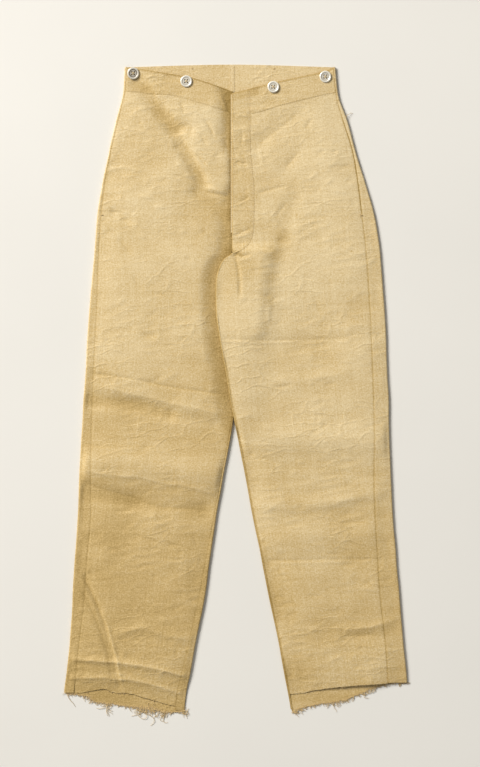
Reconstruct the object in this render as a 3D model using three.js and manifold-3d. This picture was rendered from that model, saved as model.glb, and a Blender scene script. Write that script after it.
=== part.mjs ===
// Linen trousers laid face up, with every wall worked out from the tables below.
// Millimetres. +Y runs to the waist, +Z up from the surface they lie on, and the wearer's right is -X.
import * as THREE from "three";
import Module from "manifold-3d";

// --- sizes ---------------------------------------------------------------
const CLOTH = 1.0; // wall of one layer of linen
const BAND = 1.4; // wall of the doubled waistband
const SEAM = 0.3; // parting between pieces at a seam,
const CURVED_SEAM = 0.6; // and along the curved leg seams
const EDGE_HEIGHT = 4.0; // height of a folded leg edge over its outer faces
const BEND = (EDGE_HEIGHT - CLOTH) / 2; // radius of a fold at the middle of its wall
const CROWN = 1.2; // how much higher the front lies away from the folds
const CROWN_REACH = 22; // distance over which it rises
const RELIEF_REACH = 8; // distance over which creases die out towards a fold
const PROUD = 0.3; // how far bands and placket stand above the panel
const CROTCH_Y = 231;
const CENTRE_X = -6; // centre back seam and fly
const FLY_HEM_Y = 234; // lower end of the placket
const FLY_TURN_Y = 262; // where its stitched edge turns in
const UNDERLAP = { left: -7.9, right: 16.5, top: 486, foot: 264, under: 2.6 };
const FELL = { width: 7.6, foot: 262, under: 1.3 };
const CURL_LENGTH = 20; // below the crotch, over which the inner fold closes
const OPEN_CURL = 0.2; // angle of the inner edge at the crotch, in radians
const OPEN_LIP = 0.6; // length of the turned lip there
const LIFT = 4.5; // the left leg lies this much higher over the right leg
const LIFT_FROM = 2.5; // it starts to come down this far beside that leg,
const LIFT_RUN = 14; // and is down after this much more
const RAMP_LEAST = 12; // least width kept for that slope in the panel's section
const LIFT_TOP_Y = 252; // where that lift starts above the crotch
const FRAY = { width: 2.0, part: 0.45, under: 0.2, thread: 0.45 };
const LINEN = 0xd9bf8e;
const METAL = 0xb8b6ae;

// --- tables --------------------------------------------------------------
// Each leg by height: its outline, the side seam, the inner edge and the inseam.
const RIGHT_LEG = [
  { y: 534, edge: -177.2, seam: -173.2, inner: -6.15, inseam: -8.9 },
  { y: 491, edge: -179.9, seam: -176.7, inner: -6.15, inseam: -8.9 },
  { y: 475, edge: -183.1, seam: -180.3, inner: -6.15, inseam: -8.9 },
  { y: 444, edge: -191.6, seam: -188.1, inner: -6.15, inseam: -8.9 },
  { y: 396, edge: -202.2, seam: -199.3, inner: -6.15, inseam: -8.9 },
  { y: 348, edge: -212.9, seam: -208.8, inner: -6.15, inseam: -8.9 },
  { y: 292, edge: -221.6, seam: -215.4, inner: -6.15, inseam: -8.9 },
  { y: 252, edge: -224.9, seam: -218.3, inner: -6.15, inseam: -8.9 },
  { y: 231, edge: -226.4, seam: -219.3, inner: -6.15, inseam: -8.9 },
  { y: 223, edge: -227.0, seam: -219.7, inner: -1.2, inseam: -4.0 },
  { y: 211, edge: -228.2, seam: -220.3, inner: 3.4, inseam: 0.6 },
  { y: 188, edge: -230.2, seam: -221.0, inner: 8.4, inseam: 5.6 },
  { y: 140, edge: -234.3, seam: -222.6, inner: 11.6, inseam: 8.8 },
  { y: 92, edge: -238.0, seam: -224.9, inner: 10.0, inseam: 7.2 },
  { y: 44, edge: -239.9, seam: -227.7, inner: 6.0, inseam: 3.2 },
  { y: -15, edge: -244.6, seam: -230.0, inner: -1.0, inseam: -3.8 },
  { y: -68, edge: -247.3, seam: -231.5, inner: -9.0, inseam: -11.8 },
  { y: -132, edge: -250.9, seam: -232.4, inner: -20.9, inseam: -23.9 },
  { y: -196, edge: -253.3, seam: -232.6, inner: -31.8, inseam: -36.2 },
  { y: -260, edge: -257.9, seam: -238.4, inner: -40.9, inseam: -48.2 },
  { y: -324, edge: -261.4, seam: -242.7, inner: -50.0, inseam: -60.0 },
  { y: -388, edge: -265.2, seam: -250.2, inner: -62.8, inseam: -74.4 },
  { y: -444, edge: -271.5, seam: -256.1, inner: -72.8, inseam: -87.1 },
  { y: -471, edge: -274.8, seam: -259.1, inner: -79.0, inseam: -93.8 },
  { y: -509, edge: -275.0, seam: -260.0, inner: -83.5, inseam: -98.5 },
];
const LEFT_LEG = [
  { y: 534, edge: 158.8, seam: 155.6, inner: -5.85, inseam: -3.0 },
  { y: 491, edge: 163.0, seam: 159.8, inner: -5.85, inseam: -3.0 },
  { y: 475, edge: 166.6, seam: 162.4, inner: -5.85, inseam: -3.0 },
  { y: 444, edge: 178.1, seam: 171.4, inner: -5.85, inseam: -3.0 },
  { y: 396, edge: 191.4, seam: 186.4, inner: -5.85, inseam: -3.0 },
  { y: 348, edge: 206.2, seam: 195.0, inner: -5.85, inseam: -3.0 },
  { y: 292, edge: 221.7, seam: 201.8, inner: -5.85, inseam: -3.0 },
  { y: 252, edge: 228.7, seam: 206.8, inner: -5.85, inseam: -3.0 },
  { y: 231, edge: 231.3, seam: 208.8, inner: -6.4, inseam: -3.5 },
  { y: 223, edge: 232.1, seam: 209.5, inner: -17.7, inseam: -14.8 },
  { y: 211, edge: 233.2, seam: 210.4, inner: -25.7, inseam: -22.8 },
  { y: 188, edge: 235.2, seam: 212.0, inner: -32.0, inseam: -29.1 },
  { y: 140, edge: 238.6, seam: 215.0, inner: -32.1, inseam: -29.2 },
  { y: 92, edge: 241.0, seam: 217.2, inner: -25.8, inseam: -22.9 },
  { y: 44, edge: 242.8, seam: 219.1, inner: -17.0, inseam: -14.1 },
  { y: -15, edge: 245.4, seam: 220.9, inner: -7.2, inseam: -4.3 },
  { y: -68, edge: 246.4, seam: 221.8, inner: 4.1, inseam: 7.0 },
  { y: -132, edge: 248.7, seam: 221.1, inner: 16.2, inseam: 19.1 },
  { y: -196, edge: 252.2, seam: 223.4, inner: 28.1, inseam: 31.0 },
  { y: -260, edge: 257.4, seam: 226.9, inner: 41.5, inseam: 44.4 },
  { y: -324, edge: 263.0, seam: 231.4, inner: 54.0, inseam: 56.9 },
  { y: -388, edge: 268.2, seam: 238.8, inner: 67.5, inseam: 70.4 },
  { y: -444, edge: 274.2, seam: 242.8, inner: 77.9, inseam: 80.8 },
  { y: -471, edge: 275.6, seam: 244.4, inner: 83.1, inseam: 86.0 },
  { y: -509, edge: 275.0, seam: 245.2, inner: 90.0, inseam: 92.9 },
];
// Where the placket is stitched down on the left front.
const FLY_LINE = [
  { y: 500, x: 24.0 },
  { y: 424, x: 24.2 },
  { y: 387, x: 25.5 },
  { y: 335, x: 30.2 },
  { y: 295, x: 30.5 },
  { y: 265, x: 29.0 },
  { y: 247, x: 23.0 },
  { y: 238, x: 14.0 },
  { y: 234, x: 7.0 },
  { y: 231, x: -3.2 },
];
// Edges that run across, each from left to right in this frame.
const BACK_TOP = [
  { x: -178, y: 529.0 },
  { x: CENTRE_X, y: 533.3 },
  { x: 160, y: 529.0 },
];
const BAND_TOP_RIGHT = [
  { x: -176.4, y: 528.3 },
  { x: -150.0, y: 525.1 },
  { x: -88.6, y: 515.0 },
  { x: -65.5, y: 510.3 },
  { x: -24.6, y: 497.0 },
  { x: -7.9, y: 490.6 },
];
const BAND_TOP_LEFT = [
  { x: -7.9, y: 486.8 },
  { x: 3.6, y: 488.9 },
  { x: 44.6, y: 499.6 },
  { x: 70.2, y: 506.0 },
  { x: 129.0, y: 518.8 },
  { x: 158.5, y: 527.8 },
];
const BAND_FOOT_RIGHT = [
  { x: -178.0, y: 489.8 },
  { x: -129.5, y: 484.7 },
  { x: -94.0, y: 481.0 },
  { x: -57.8, y: 470.2 },
  { x: -24.6, y: 460.4 },
  { x: -7.9, y: 455.0 },
];
const BAND_FOOT_LEFT = [
  { x: 24.0, y: 453.0 },
  { x: 39.4, y: 456.1 },
  { x: 70.2, y: 465.8 },
  { x: 131.6, y: 481.1 },
  { x: 161.0, y: 488.1 },
];
const FRONT_HEM_RIGHT = [
  { x: -275, y: -472.6 },
  { x: -248, y: -472.6 },
  { x: -228, y: -468.5 },
  { x: -208, y: -466.8 },
  { x: -198, y: -472.0 },
  { x: -170, y: -473.6 },
  { x: -136, y: -483.4 },
  { x: -102, y: -492.8 },
  { x: -84, y: -496.0 },
];
const BACK_HEM_RIGHT = [
  { x: -275, y: -472.6 },
  { x: -257, y: -475.0 },
  { x: -238, y: -478.5 },
  { x: -227, y: -486.5 },
  { x: -209, y: -488.6 },
  { x: -180, y: -493.4 },
  { x: -136, y: -497.2 },
  { x: -118, y: -502.0 },
  { x: -92, y: -503.4 },
  { x: -83, y: -500.6 },
];
const FRONT_HEM_LEFT = [
  { x: 84, y: -474.4 },
  { x: 109, y: -472.6 },
  { x: 132, y: -467.8 },
  { x: 176, y: -462.2 },
  { x: 242, y: -457.4 },
  { x: 275, y: -455.8 },
];
const BACK_HEM_LEFT = [
  { x: 86, y: -495.0 },
  { x: 92, y: -503.5 },
  { x: 101, y: -498.2 },
  { x: 122, y: -492.6 },
  { x: 176, y: -483.8 },
  { x: 192, y: -477.4 },
  { x: 221, y: -464.6 },
  { x: 235, y: -459.6 },
  { x: 275, y: -455.8 },
];
// The largest folds of each front: the line they run along, half their width, and how far they rise or sink.
const RIGHT_FOLDS = [
  { path: [[-155, 504], [-117, 449], [-81, 401], [-51, 340]], width: 10, rise: -1.2 }, // drag from the side button
  { path: [[-96, 434], [-74, 428]], width: 9, rise: -0.5 },
  { path: [[-28, 497], [-4, 440], [-4, 330]], width: 10, rise: -1.5 }, // hollow beside the fly
  { path: [[-4, 330], [-16, 262]], width: 15, rise: -0.6 },
  { path: [[-194, 296], [-172, 284]], width: 8, rise: -0.5 },
  { path: [[-236, 44], [-152, 25], [-76, 15]], width: 7, rise: -0.7 }, // knee
  { path: [[-217, 17], [-129, -2], [-32, -26]], width: 9, rise: 1.0 },
  { path: [[-225, -17], [-121, -36], [-36, -55]], width: 12, rise: -0.9 },
  { path: [[-225, -87], [-41, -97]], width: 26, rise: 1.2 }, // below the knee
  { path: [[-233, -148], [-56, -177]], width: 15, rise: -1.2 },
  { path: [[-241, -288], [-218, -338], [-199, -404], [-186, -462]], width: 7, rise: -0.9 }, // shin
  { path: [[-188, -377], [-148, -367], [-75, -386]], width: 8, rise: 0.7 },
  { path: [[-262, -417], [-170, -425], [-78, -445]], width: 6, rise: 0.9 }, // old hem folds
  { path: [[-262, -448], [-170, -451], [-84, -474]], width: 6, rise: 0.9 },
];
const LEFT_FOLDS = [
  { path: [[104, 457], [53, 419], [32, 399]], width: 9, rise: -0.7 }, // drag from the front button
  { path: [[102, 395], [77, 363]], width: 9, rise: -0.6 },
  { path: [[83, 315], [61, 284]], width: 10, rise: -0.6 },
  { path: [[69, 276], [45, 215], [33, 150], [29, 84]], width: 12, rise: -1.3 }, // trough down the thigh
  { path: [[2, 196], [7, 108]], width: 14, rise: 0.8 },
  { path: [[-20, 91], [44, 88], [157, 91], [236, 99]], width: 7, rise: -0.8 }, // thigh
  { path: [[104, 27], [172, 38]], width: 8, rise: 0.6 },
  { path: [[24, -86], [215, -92]], width: 24, rise: 0.9 }, // knee and shin
  { path: [[60, -225], [210, -218]], width: 18, rise: 0.6 },
  { path: [[44, -263], [228, -260]], width: 7, rise: -0.8 },
  { path: [[167, -372], [216, -367], [258, -356]], width: 9, rise: 0.8 },
  { path: [[176, -385], [240, -382]], width: 9, rise: -0.6 },
  { path: [[160, -466], [236, -456]], width: 14, rise: 1.3 }, // lifted hem
];
const BUTTONS = [
  { name: "button_right_side", x: -164.1, y: 518.5 },
  { name: "button_right_front", x: -79.1, y: 505.7 },
  { name: "button_left_front", x: 60.2, y: 496.7 },
  { name: "button_left_side", x: 143.4, y: 513.2 },
];
// Half of a button's section, from the middle of its face out, round the rim and back underneath.
const BUTTON_SECTION = [
  { r: 0.0, z: 1.1 },
  { r: 5.2, z: 1.1 },
  { r: 6.6, z: 1.9 },
  { r: 8.2, z: 2.5 },
  { r: 9.2, z: 2.3 },
  { r: 9.5, z: 1.6 },
  { r: 8.9, z: 0.8 },
  { r: 6.4, z: 0.2 },
  { r: 0.0, z: 0.0 },
];
const BUTTON_HOLES = { count: 4, radius: 1.1, circle: 2.6, sides: 8 };
// Long loose threads at the hems; the loop below adds the short ones between.
const LONG_THREADS_RIGHT = [
  { x: -272, reach: 7, lean: 0.2 },
  { x: -210, reach: 24, lean: -0.3 },
  { x: -203, reach: 20, lean: 0.5 },
  { x: -156, reach: 25, lean: 0.5 },
  { x: -149, reach: 36, lean: 0.1 },
  { x: -141, reach: 27, lean: -0.4 },
  { x: -131, reach: 25, lean: 0.3 },
  { x: -122, reach: 21, lean: -0.2 },
  { x: -90, reach: 11, lean: 0.8 },
];
const LONG_THREADS_LEFT = [
  { x: 98, reach: 12, lean: 0.9 },
  { x: 107, reach: 11, lean: -0.5 },
  { x: 149, reach: 13, lean: 0.6 },
  { x: 163, reach: 10, lean: -0.4 },
  { x: 211, reach: 10, lean: 0.5 },
];

// --- reading the tables --------------------------------------------------
const smooth = (t) => THREE.MathUtils.smoothstep(t, 0, 1);

// A column of a table at a given place on another, as a smooth curve through its rows.
function read(table, column, at, by = "y") {
  const rows = table[0][by] <= table[table.length - 1][by] ? table : [...table].reverse();
  const last = rows.length - 1;
  let i = 0;
  while (i < last - 1 && at > rows[i + 1][by]) i += 1;
  const slope = (j) => {
    const low = Math.max(j - 1, 0);
    const high = Math.min(j + 1, last);
    return (rows[high][column] - rows[low][column]) / (rows[high][by] - rows[low][by]);
  };
  const span = rows[i + 1][by] - rows[i][by];
  const t = THREE.MathUtils.clamp((at - rows[i][by]) / span, 0, 1);
  const [a, b] = [rows[i][column], rows[i + 1][column]];
  return (
    a * (1 + 2 * t) * (1 - t) ** 2 +
    b * t * t * (3 - 2 * t) +
    span * (slope(i) * t * (1 - t) ** 2 - slope(i + 1) * t * t * (1 - t))
  );
}

const across = (table, x) => read(table, "y", x, "x");

// Distance from a point to the nearest stretch of a line of [x, y] corners.
function offPath(x, y, path) {
  return Math.min(
    ...path.slice(1).map(([x1, y1], i) => {
      const [x0, y0] = path[i];
      const [dx, dy] = [x1 - x0, y1 - y0];
      const along = ((x - x0) * dx + (y - y0) * dy) / (dx * dx + dy * dy);
      const t = THREE.MathUtils.clamp(along, 0, 1);
      return Math.hypot(x - x0 - t * dx, y - y0 - t * dy);
    }),
  );
}

// --- the two legs --------------------------------------------------------
// side is -1 for the wearer's right and +1 for the left.
const RIGHT = {
  side: -1,
  rows: RIGHT_LEG,
  folds: RIGHT_FOLDS,
  frontHem: FRONT_HEM_RIGHT,
  backHem: BACK_HEM_RIGHT,
  floor: [0.08, 0.19, 0.25, 0.34, 0.5, 0.73, 0.83],
};
const LEFT = {
  side: 1,
  rows: LEFT_LEG,
  folds: LEFT_FOLDS,
  frontHem: FRONT_HEM_LEFT,
  backHem: BACK_HEM_LEFT,
  floor: [0.1, 0.22, 0.3, 0.47, 0.56, 0.88],
};

// Distance in from the nearest folded edge of a leg; above the crotch the fly isn't one.
function inFromFold(leg, x, y) {
  const outer = Math.abs(x - read(leg.rows, "edge", y));
  const inner = Math.hypot(
    x - read(leg.rows, "inner", Math.min(y, CROTCH_Y)),
    Math.max(0, y - CROTCH_Y),
  );
  return Math.min(outer, inner);
}

// How far the left leg is raised where it lies over the right one.
function lift(leg, x, y) {
  if (leg.side < 0) return 0;
  const from = read(RIGHT_LEG, "inner", y) + LIFT_FROM;
  return (
    LIFT *
    smooth((LIFT_TOP_Y - y) / (LIFT_TOP_Y - CROTCH_Y)) *
    (1 - smooth((x - from) / LIFT_RUN))
  );
}

// 1 on the right leg's flat part beneath the left leg, 0 away from it.
function beneath(leg, x, y) {
  if (leg.side > 0) return 0;
  const cover = read(LEFT_LEG, "inner", y) - 2;
  return (
    smooth((LIFT_TOP_Y - y) / (LIFT_TOP_Y - CROTCH_Y)) *
    smooth(1 + (x - cover) / LIFT_RUN)
  );
}

// Height of the upper face of a leg's front layer.
function topOf(leg, x, y) {
  const d = inFromFold(leg, x, y);
  const crown = CROWN * (1 - Math.exp(-((d / CROWN_REACH) ** 2)));
  const creases = leg.folds.reduce(
    (sum, f) => sum + f.rise * Math.exp(-((offPath(x, y, f.path) / f.width) ** 2)),
    0,
  );
  const relief = crown + creases * (1 - Math.exp(-((d / RELIEF_REACH) ** 2)));
  return EDGE_HEIGHT + relief * (1 - beneath(leg, x, y)) + lift(leg, x, y);
}

// --- walls ---------------------------------------------------------------
// A closed wall of the given thickness about a grid of points on its middle.
function wall(grid, thickness) {
  const rows = grid.length;
  const columns = grid[0].length;
  const at = (i, j) =>
    grid[THREE.MathUtils.clamp(i, 0, rows - 1)][THREE.MathUtils.clamp(j, 0, columns - 1)];
  const faces = [[], []];
  for (let i = 0; i < rows; i += 1)
    for (let j = 0; j < columns; j += 1) {
      const down = at(i + 1, j).clone().sub(at(i - 1, j));
      const over = at(i, j + 1).clone().sub(at(i, j - 1));
      const out = over.cross(down).normalize().multiplyScalar(thickness / 2);
      faces[0].push(at(i, j).clone().add(out));
      faces[1].push(at(i, j).clone().sub(out));
    }
  const index = [];
  const quad = (a, b, c, d) => index.push(a, b, c, a, c, d);
  const back = rows * columns;
  const id = (i, j) => i * columns + j;
  for (let i = 0; i < rows - 1; i += 1)
    for (let j = 0; j < columns - 1; j += 1) {
      const [a, b, c, d] = [id(i, j), id(i, j + 1), id(i + 1, j + 1), id(i + 1, j)];
      quad(a, b, c, d);
      quad(back + d, back + c, back + b, back + a);
    }
  for (let i = 0; i < rows - 1; i += 1) {
    quad(id(i, 0), id(i + 1, 0), back + id(i + 1, 0), back + id(i, 0));
    quad(id(i + 1, columns - 1), id(i, columns - 1), back + id(i, columns - 1), back + id(i + 1, columns - 1));
  }
  for (let j = 0; j < columns - 1; j += 1) {
    quad(id(0, j + 1), id(0, j), back + id(0, j), back + id(0, j + 1));
    quad(id(rows - 1, j), id(rows - 1, j + 1), back + id(rows - 1, j + 1), back + id(rows - 1, j));
  }
  const points = faces.flat();
  return outward(points, index);
}

// Turns a closed mesh so that its faces point out.
function outward(points, index) {
  let volume = 0;
  for (let k = 0; k < index.length; k += 3) {
    const [a, b, c] = [points[index[k]], points[index[k + 1]], points[index[k + 2]]];
    volume += a.dot(b.clone().cross(c));
  }
  const turned = volume < 0 ? index.slice().reverse() : index;
  return new THREE.BufferGeometry().setFromPoints(points).setIndex(turned);
}

// Places along a length of 0 to 1, with more of them where the counts ask for it.
function steps(stretches) {
  const places = [0];
  let from = 0;
  for (const { to, count } of stretches) {
    for (let k = 1; k <= count; k += 1) places.push(from + ((to - from) * k) / count);
    from = to;
  }
  return places;
}

// A piece lying on a leg's front layer, between two sides read by height and two edges read across.
function layer({ leg, left, right, top, foot, rows, columns, thickness, proud }) {
  return wall(
    rows.map((v) =>
      columns.map((u) => {
        let y = THREE.MathUtils.lerp(top(0), foot(0), v);
        let x = 0;
        for (let pass = 0; pass < 5; pass += 1) {
          x = THREE.MathUtils.lerp(left(y), right(y), u);
          y = THREE.MathUtils.lerp(top(x), foot(x), v);
        }
        return new THREE.Vector3(x, y, topOf(leg, x, y) + proud - thickness / 2);
      }),
    ),
    thickness,
  );
}

// Places across the flat of a back panel, from the outer fold to the inner one. The last few
// follow the slope where the left leg is raised.
function floorPlaces(leg, { turn, start, yInner }) {
  const ramp = read(RIGHT_LEG, "inner", yInner) + LIFT_FROM;
  const foot = leg.side < 0 ? start - RAMP_LEAST : Math.max(ramp + LIFT_RUN, start + RAMP_LEAST);
  const head = leg.side < 0 ? start - 1 : Math.max(ramp, start + 1);
  return [
    ...leg.floor.map((u) => THREE.MathUtils.lerp(turn, foot, u)),
    ...(leg.side < 0 ? [foot, head] : RISE_STEPS.map((u) => THREE.MathUtils.lerp(foot, head, u))),
    start,
  ];
}

// --- back panels ---------------------------------------------------------
// Each is one wall: from the side seam over and round the outer fold, flat along the table,
// and below the crotch up round the inner fold to the inseam.
function backPanel(leg) {
  return wall(
    steps(BACK_ROWS).map((v) => {
      const cut = sectionAt(leg, v);
      const raised = (x, z, y) => new THREE.Vector3(x, y, z + lift(leg, x, y));
      const lip = BACK_LIP.map((u) => {
        const x = THREE.MathUtils.lerp(cut.seam, cut.turn, u);
        return new THREE.Vector3(x, cut.yOuter, topOf(leg, x, cut.yOuter) - CLOTH / 2);
      });
      const outerFold = FOLD_STEPS.map((u) => {
        const x = cut.turn + leg.side * BEND * Math.sin(Math.PI * u);
        return raised(x, EDGE_HEIGHT / 2 + BEND * Math.cos(Math.PI * u), cut.yOuter);
      });
      const floor = floorPlaces(leg, cut).map((x) => raised(x, CLOTH / 2, backY(leg, x, v)));
      const innerFold = FOLD_STEPS.map((u) => {
        const x = cut.start - leg.side * BEND * Math.sin(cut.curl * u);
        return raised(x, EDGE_HEIGHT / 2 - BEND * Math.cos(cut.curl * u), cut.yInner);
      });
      const end = innerFold[innerFold.length - 1];
      const innerLip = INNER_LIP.map((u) => {
        const x = end.x - leg.side * u * cut.lip * Math.cos(cut.curl);
        return new THREE.Vector3(x, cut.yInner, end.z + u * cut.lip * Math.sin(cut.curl));
      });
      return [...lip, ...outerFold, ...floor, ...innerFold, ...innerLip];
    }),
    CLOTH,
  );
}

// Height up the garment of a place on the back, v of the way from its top to its hem.
const backY = (leg, x, v) =>
  THREE.MathUtils.lerp(across(BACK_TOP, x), across(leg.backHem, x), v);

// Where a back panel's section v of the way down has its seams and folds.
function sectionAt(leg, v) {
  const reach = EDGE_HEIGHT / 2;
  let yOuter = backY(leg, leg.rows[0].edge, v);
  let yInner = backY(leg, CENTRE_X, v);
  for (let pass = 0; pass < 5; pass += 1) {
    yOuter = backY(leg, read(leg.rows, "edge", yOuter), v);
    yInner = backY(leg, read(leg.rows, "inner", yInner), v);
  }
  const closed = smooth((CROTCH_Y - yInner) / CURL_LENGTH);
  const curl = THREE.MathUtils.lerp(OPEN_CURL, Math.PI, closed);
  const inner = read(leg.rows, "inner", yInner);
  const inset = Math.abs(read(leg.rows, "inseam", yInner) - inner);
  const lip = THREE.MathUtils.lerp(OPEN_LIP, inset - reach, closed);
  const stretch =
    BEND * Math.sin(Math.min(curl, Math.PI / 2)) + lip * Math.max(0, Math.cos(curl)) + CLOTH / 2;
  return {
    yOuter,
    yInner,
    curl,
    lip,
    seam: read(leg.rows, "seam", yOuter),
    turn: read(leg.rows, "edge", yOuter) - leg.side * reach,
    start: inner + leg.side * stretch,
  };
}
const BACK_ROWS = [
  { to: 0.15, count: 6 },
  { to: 0.27, count: 3 },
  { to: 0.33, count: 8 },
  { to: 0.46, count: 5 },
  { to: 0.6, count: 6 },
  { to: 1, count: 6 },
];
const BACK_LIP = [0, 0.5, 1];
const FOLD_STEPS = [0.25, 0.5, 0.75, 1];
const RISE_STEPS = [0, 0.25, 0.5, 0.75, 1];
const INNER_LIP = [0.5, 1];

// --- the pieces ----------------------------------------------------------
const FRONT_ROWS = [
  { to: 0.2, count: 10 },
  { to: 0.3, count: 12 },
  { to: 1, count: 30 },
];
const even = (count) => steps([{ to: 1, count }]);

const frontInner = {
  right: (y) => read(RIGHT_LEG, "inseam", y) - CURVED_SEAM,
  left: (y) =>
    y > CROTCH_Y ? read(FLY_LINE, "x", y) + SEAM : read(LEFT_LEG, "inseam", y) + CURVED_SEAM,
};

function frontPanel(leg) {
  const isRight = leg.side < 0;
  const bandFoot = isRight ? BAND_FOOT_RIGHT : BAND_FOOT_LEFT;
  const seam = (y) => read(leg.rows, "seam", y) - leg.side * CURVED_SEAM;
  return layer({
    leg,
    left: isRight ? seam : frontInner.left,
    right: isRight ? frontInner.right : seam,
    top: (x) => across(bandFoot, x) - SEAM,
    foot: (x) => across(leg.frontHem, x),
    rows: steps(FRONT_ROWS),
    columns: even(12),
    thickness: CLOTH,
    proud: 0,
  });
}

function waistband(leg) {
  const isRight = leg.side < 0;
  const seam = (y) => read(leg.rows, "seam", y) - leg.side * SEAM;
  return layer({
    leg,
    left: isRight ? seam : () => FLY_LINE[0].x + SEAM,
    right: isRight ? () => CENTRE_X - 2.2 : seam,
    top: (x) => across(isRight ? BAND_TOP_RIGHT : BAND_TOP_LEFT, x),
    foot: (x) => across(isRight ? BAND_FOOT_RIGHT : BAND_FOOT_LEFT, x),
    rows: even(4),
    columns: even(12),
    thickness: BAND,
    proud: PROUD,
  });
}

function placket() {
  return layer({
    leg: LEFT,
    left: () => CENTRE_X,
    right: (y) => read(FLY_LINE, "x", y) - CURVED_SEAM * smooth((FLY_TURN_Y - y) / LIFT_RUN),
    top: (x) => across(BAND_TOP_LEFT, x),
    foot: () => FLY_HEM_Y,
    rows: even(24),
    columns: even(4),
    thickness: CLOTH,
    proud: PROUD,
  });
}

// A straight strip of cloth lying level at one height.
function strip({ left, right, top, foot, under, rows, columns }) {
  return wall(
    even(rows).map((v) =>
      even(columns).map((u) => {
        const x = THREE.MathUtils.lerp(left, right, u);
        return new THREE.Vector3(x, THREE.MathUtils.lerp(top(x), foot(x), v), under + CLOTH / 2);
      }),
    ),
    CLOTH,
  );
}

const wasm = await Module();
wasm.setup();
const { Manifold, Mesh, CrossSection } = wasm;

const solid = (geometry) =>
  new Manifold(
    new Mesh({
      numProp: 3,
      vertProperties: new Float32Array(geometry.getAttribute("position").array),
      triVerts: new Uint32Array(geometry.index.array),
    }),
  );

function geometryOf(manifold) {
  const made = manifold.getMesh();
  return new THREE.BufferGeometry()
    .setAttribute("position", new THREE.BufferAttribute(made.vertProperties, 3))
    .setIndex(new THREE.BufferAttribute(made.triVerts, 1));
}

// A dished four-hole button, lying on the band.
function button({ x, y }) {
  const leg = x < CENTRE_X ? RIGHT : LEFT;
  const outline = BUTTON_SECTION.map(({ r, z }) => [r, z]);
  const { count, radius, circle, sides } = BUTTON_HOLES;
  const holes = Array.from({ length: count }, (_, k) => {
    const angle = (2 * Math.PI * (k + 0.5)) / count;
    return Manifold.cylinder(6, radius, radius, sides).translate(
      circle * Math.cos(angle),
      circle * Math.sin(angle),
      -2,
    );
  });
  const disc = new CrossSection([outline.reverse()]).revolve(16);
  const rest = topOf(leg, x, y) + PROUD + SEAM;
  return geometryOf(Manifold.difference([disc, ...holes]).translate(x, y, rest));
}

// Repeatable scatter between -1 and 1 for thread number k.
const scatter = (k, n) => {
  const v = Math.sin(k * 12.9898 + n * 78.233) * 43758.5453;
  return 2 * (v - Math.floor(v)) - 1;
};

// Height of a straight-sided edge of [x, y] corners at one place across.
function onChord(edge, x) {
  const i = Math.max(1, edge.findIndex(([corner]) => corner > x));
  const [[x0, y0], [x1, y1]] = [edge[i - 1], edge[i]];
  return THREE.MathUtils.mapLinear(x, x0, x1, y0, y1);
}

// One loose thread: a three-sided tube that starts in the strip and wanders down the table.
function thread({ x, reach, lean }, k, edge) {
  const parts = 3;
  const path = even(parts).map((u) => {
    const sway = scatter(k, 3) * Math.sin(2.6 * u) * reach * 0.2;
    const px = x + lean * reach * u + sway;
    const height = 1 + (0.9 + 0.7 * scatter(k, 5)) * Math.sin(Math.PI * u) * 0.8;
    const py = onChord(edge, x) - FRAY.part - FRAY.width / 2 - reach * u;
    return new THREE.Vector3(px, py, FRAY.under + FRAY.thread + height * 0.5 * Math.min(1, 1.3 - u));
  });
  const r = FRAY.thread;
  const ring = path.flatMap((p) =>
    [0, 1, 2].map((c) => {
      const angle = Math.PI / 2 + (2 * Math.PI * c) / 3;
      return new THREE.Vector3(p.x + r * Math.cos(angle), p.y, p.z + r * Math.sin(angle));
    }),
  );
  const index = [0, 1, 2];
  for (let i = 0; i < parts; i += 1)
    for (let c = 0; c < 3; c += 1) {
      const [a, b] = [3 * i + c, 3 * i + ((c + 1) % 3)];
      index.push(a, a + 3, b, b, a + 3, b + 3);
    }
  index.push(3 * parts, 3 * parts + 2, 3 * parts + 1);
  return solid(outward(ring, index));
}

// The raw edge's backing strip and its loose threads, as one body.
function fray({ leg, count, long }) {
  const cut = sectionAt(leg, 1);
  const edge = [cut.turn, ...floorPlaces(leg, cut)]
    .sort((a, b) => a - b)
    .map((x) => [x, across(leg.backHem, x)]);
  const [left, right] = [edge[0][0], edge[edge.length - 1][0]];
  const backing = wall(
    [FRAY.part, FRAY.part + FRAY.width].map((drop) =>
      edge.map(([x, y]) => new THREE.Vector3(x, y - drop, FRAY.under + CLOTH / 2)),
    ),
    CLOTH,
  );
  const short = Array.from({ length: count }, (_, k) => ({
    x: THREE.MathUtils.lerp(left + 3, right - 3, (k + 0.5 + 0.4 * scatter(k, 1)) / count),
    reach: 5 + 3 * scatter(k, 2),
    lean: 0.6 * scatter(k, 4),
  }));
  const threads = [...long, ...short].map((t, k) => thread(t, k, edge));
  return geometryOf(Manifold.union([solid(backing), ...threads]));
}

// --- the part ------------------------------------------------------------
const linen = () =>
  new THREE.MeshStandardMaterial({ color: LINEN, roughness: 0.9, metalness: 0, side: THREE.DoubleSide });
const metal = () => new THREE.MeshStandardMaterial({ color: METAL, roughness: 0.35, metalness: 1 });

const group = new THREE.Group();
function add(name, geometry, material) {
  geometry.computeVertexNormals();
  const mesh = new THREE.Mesh(geometry, material);
  mesh.name = name;
  group.add(mesh);
}

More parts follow.
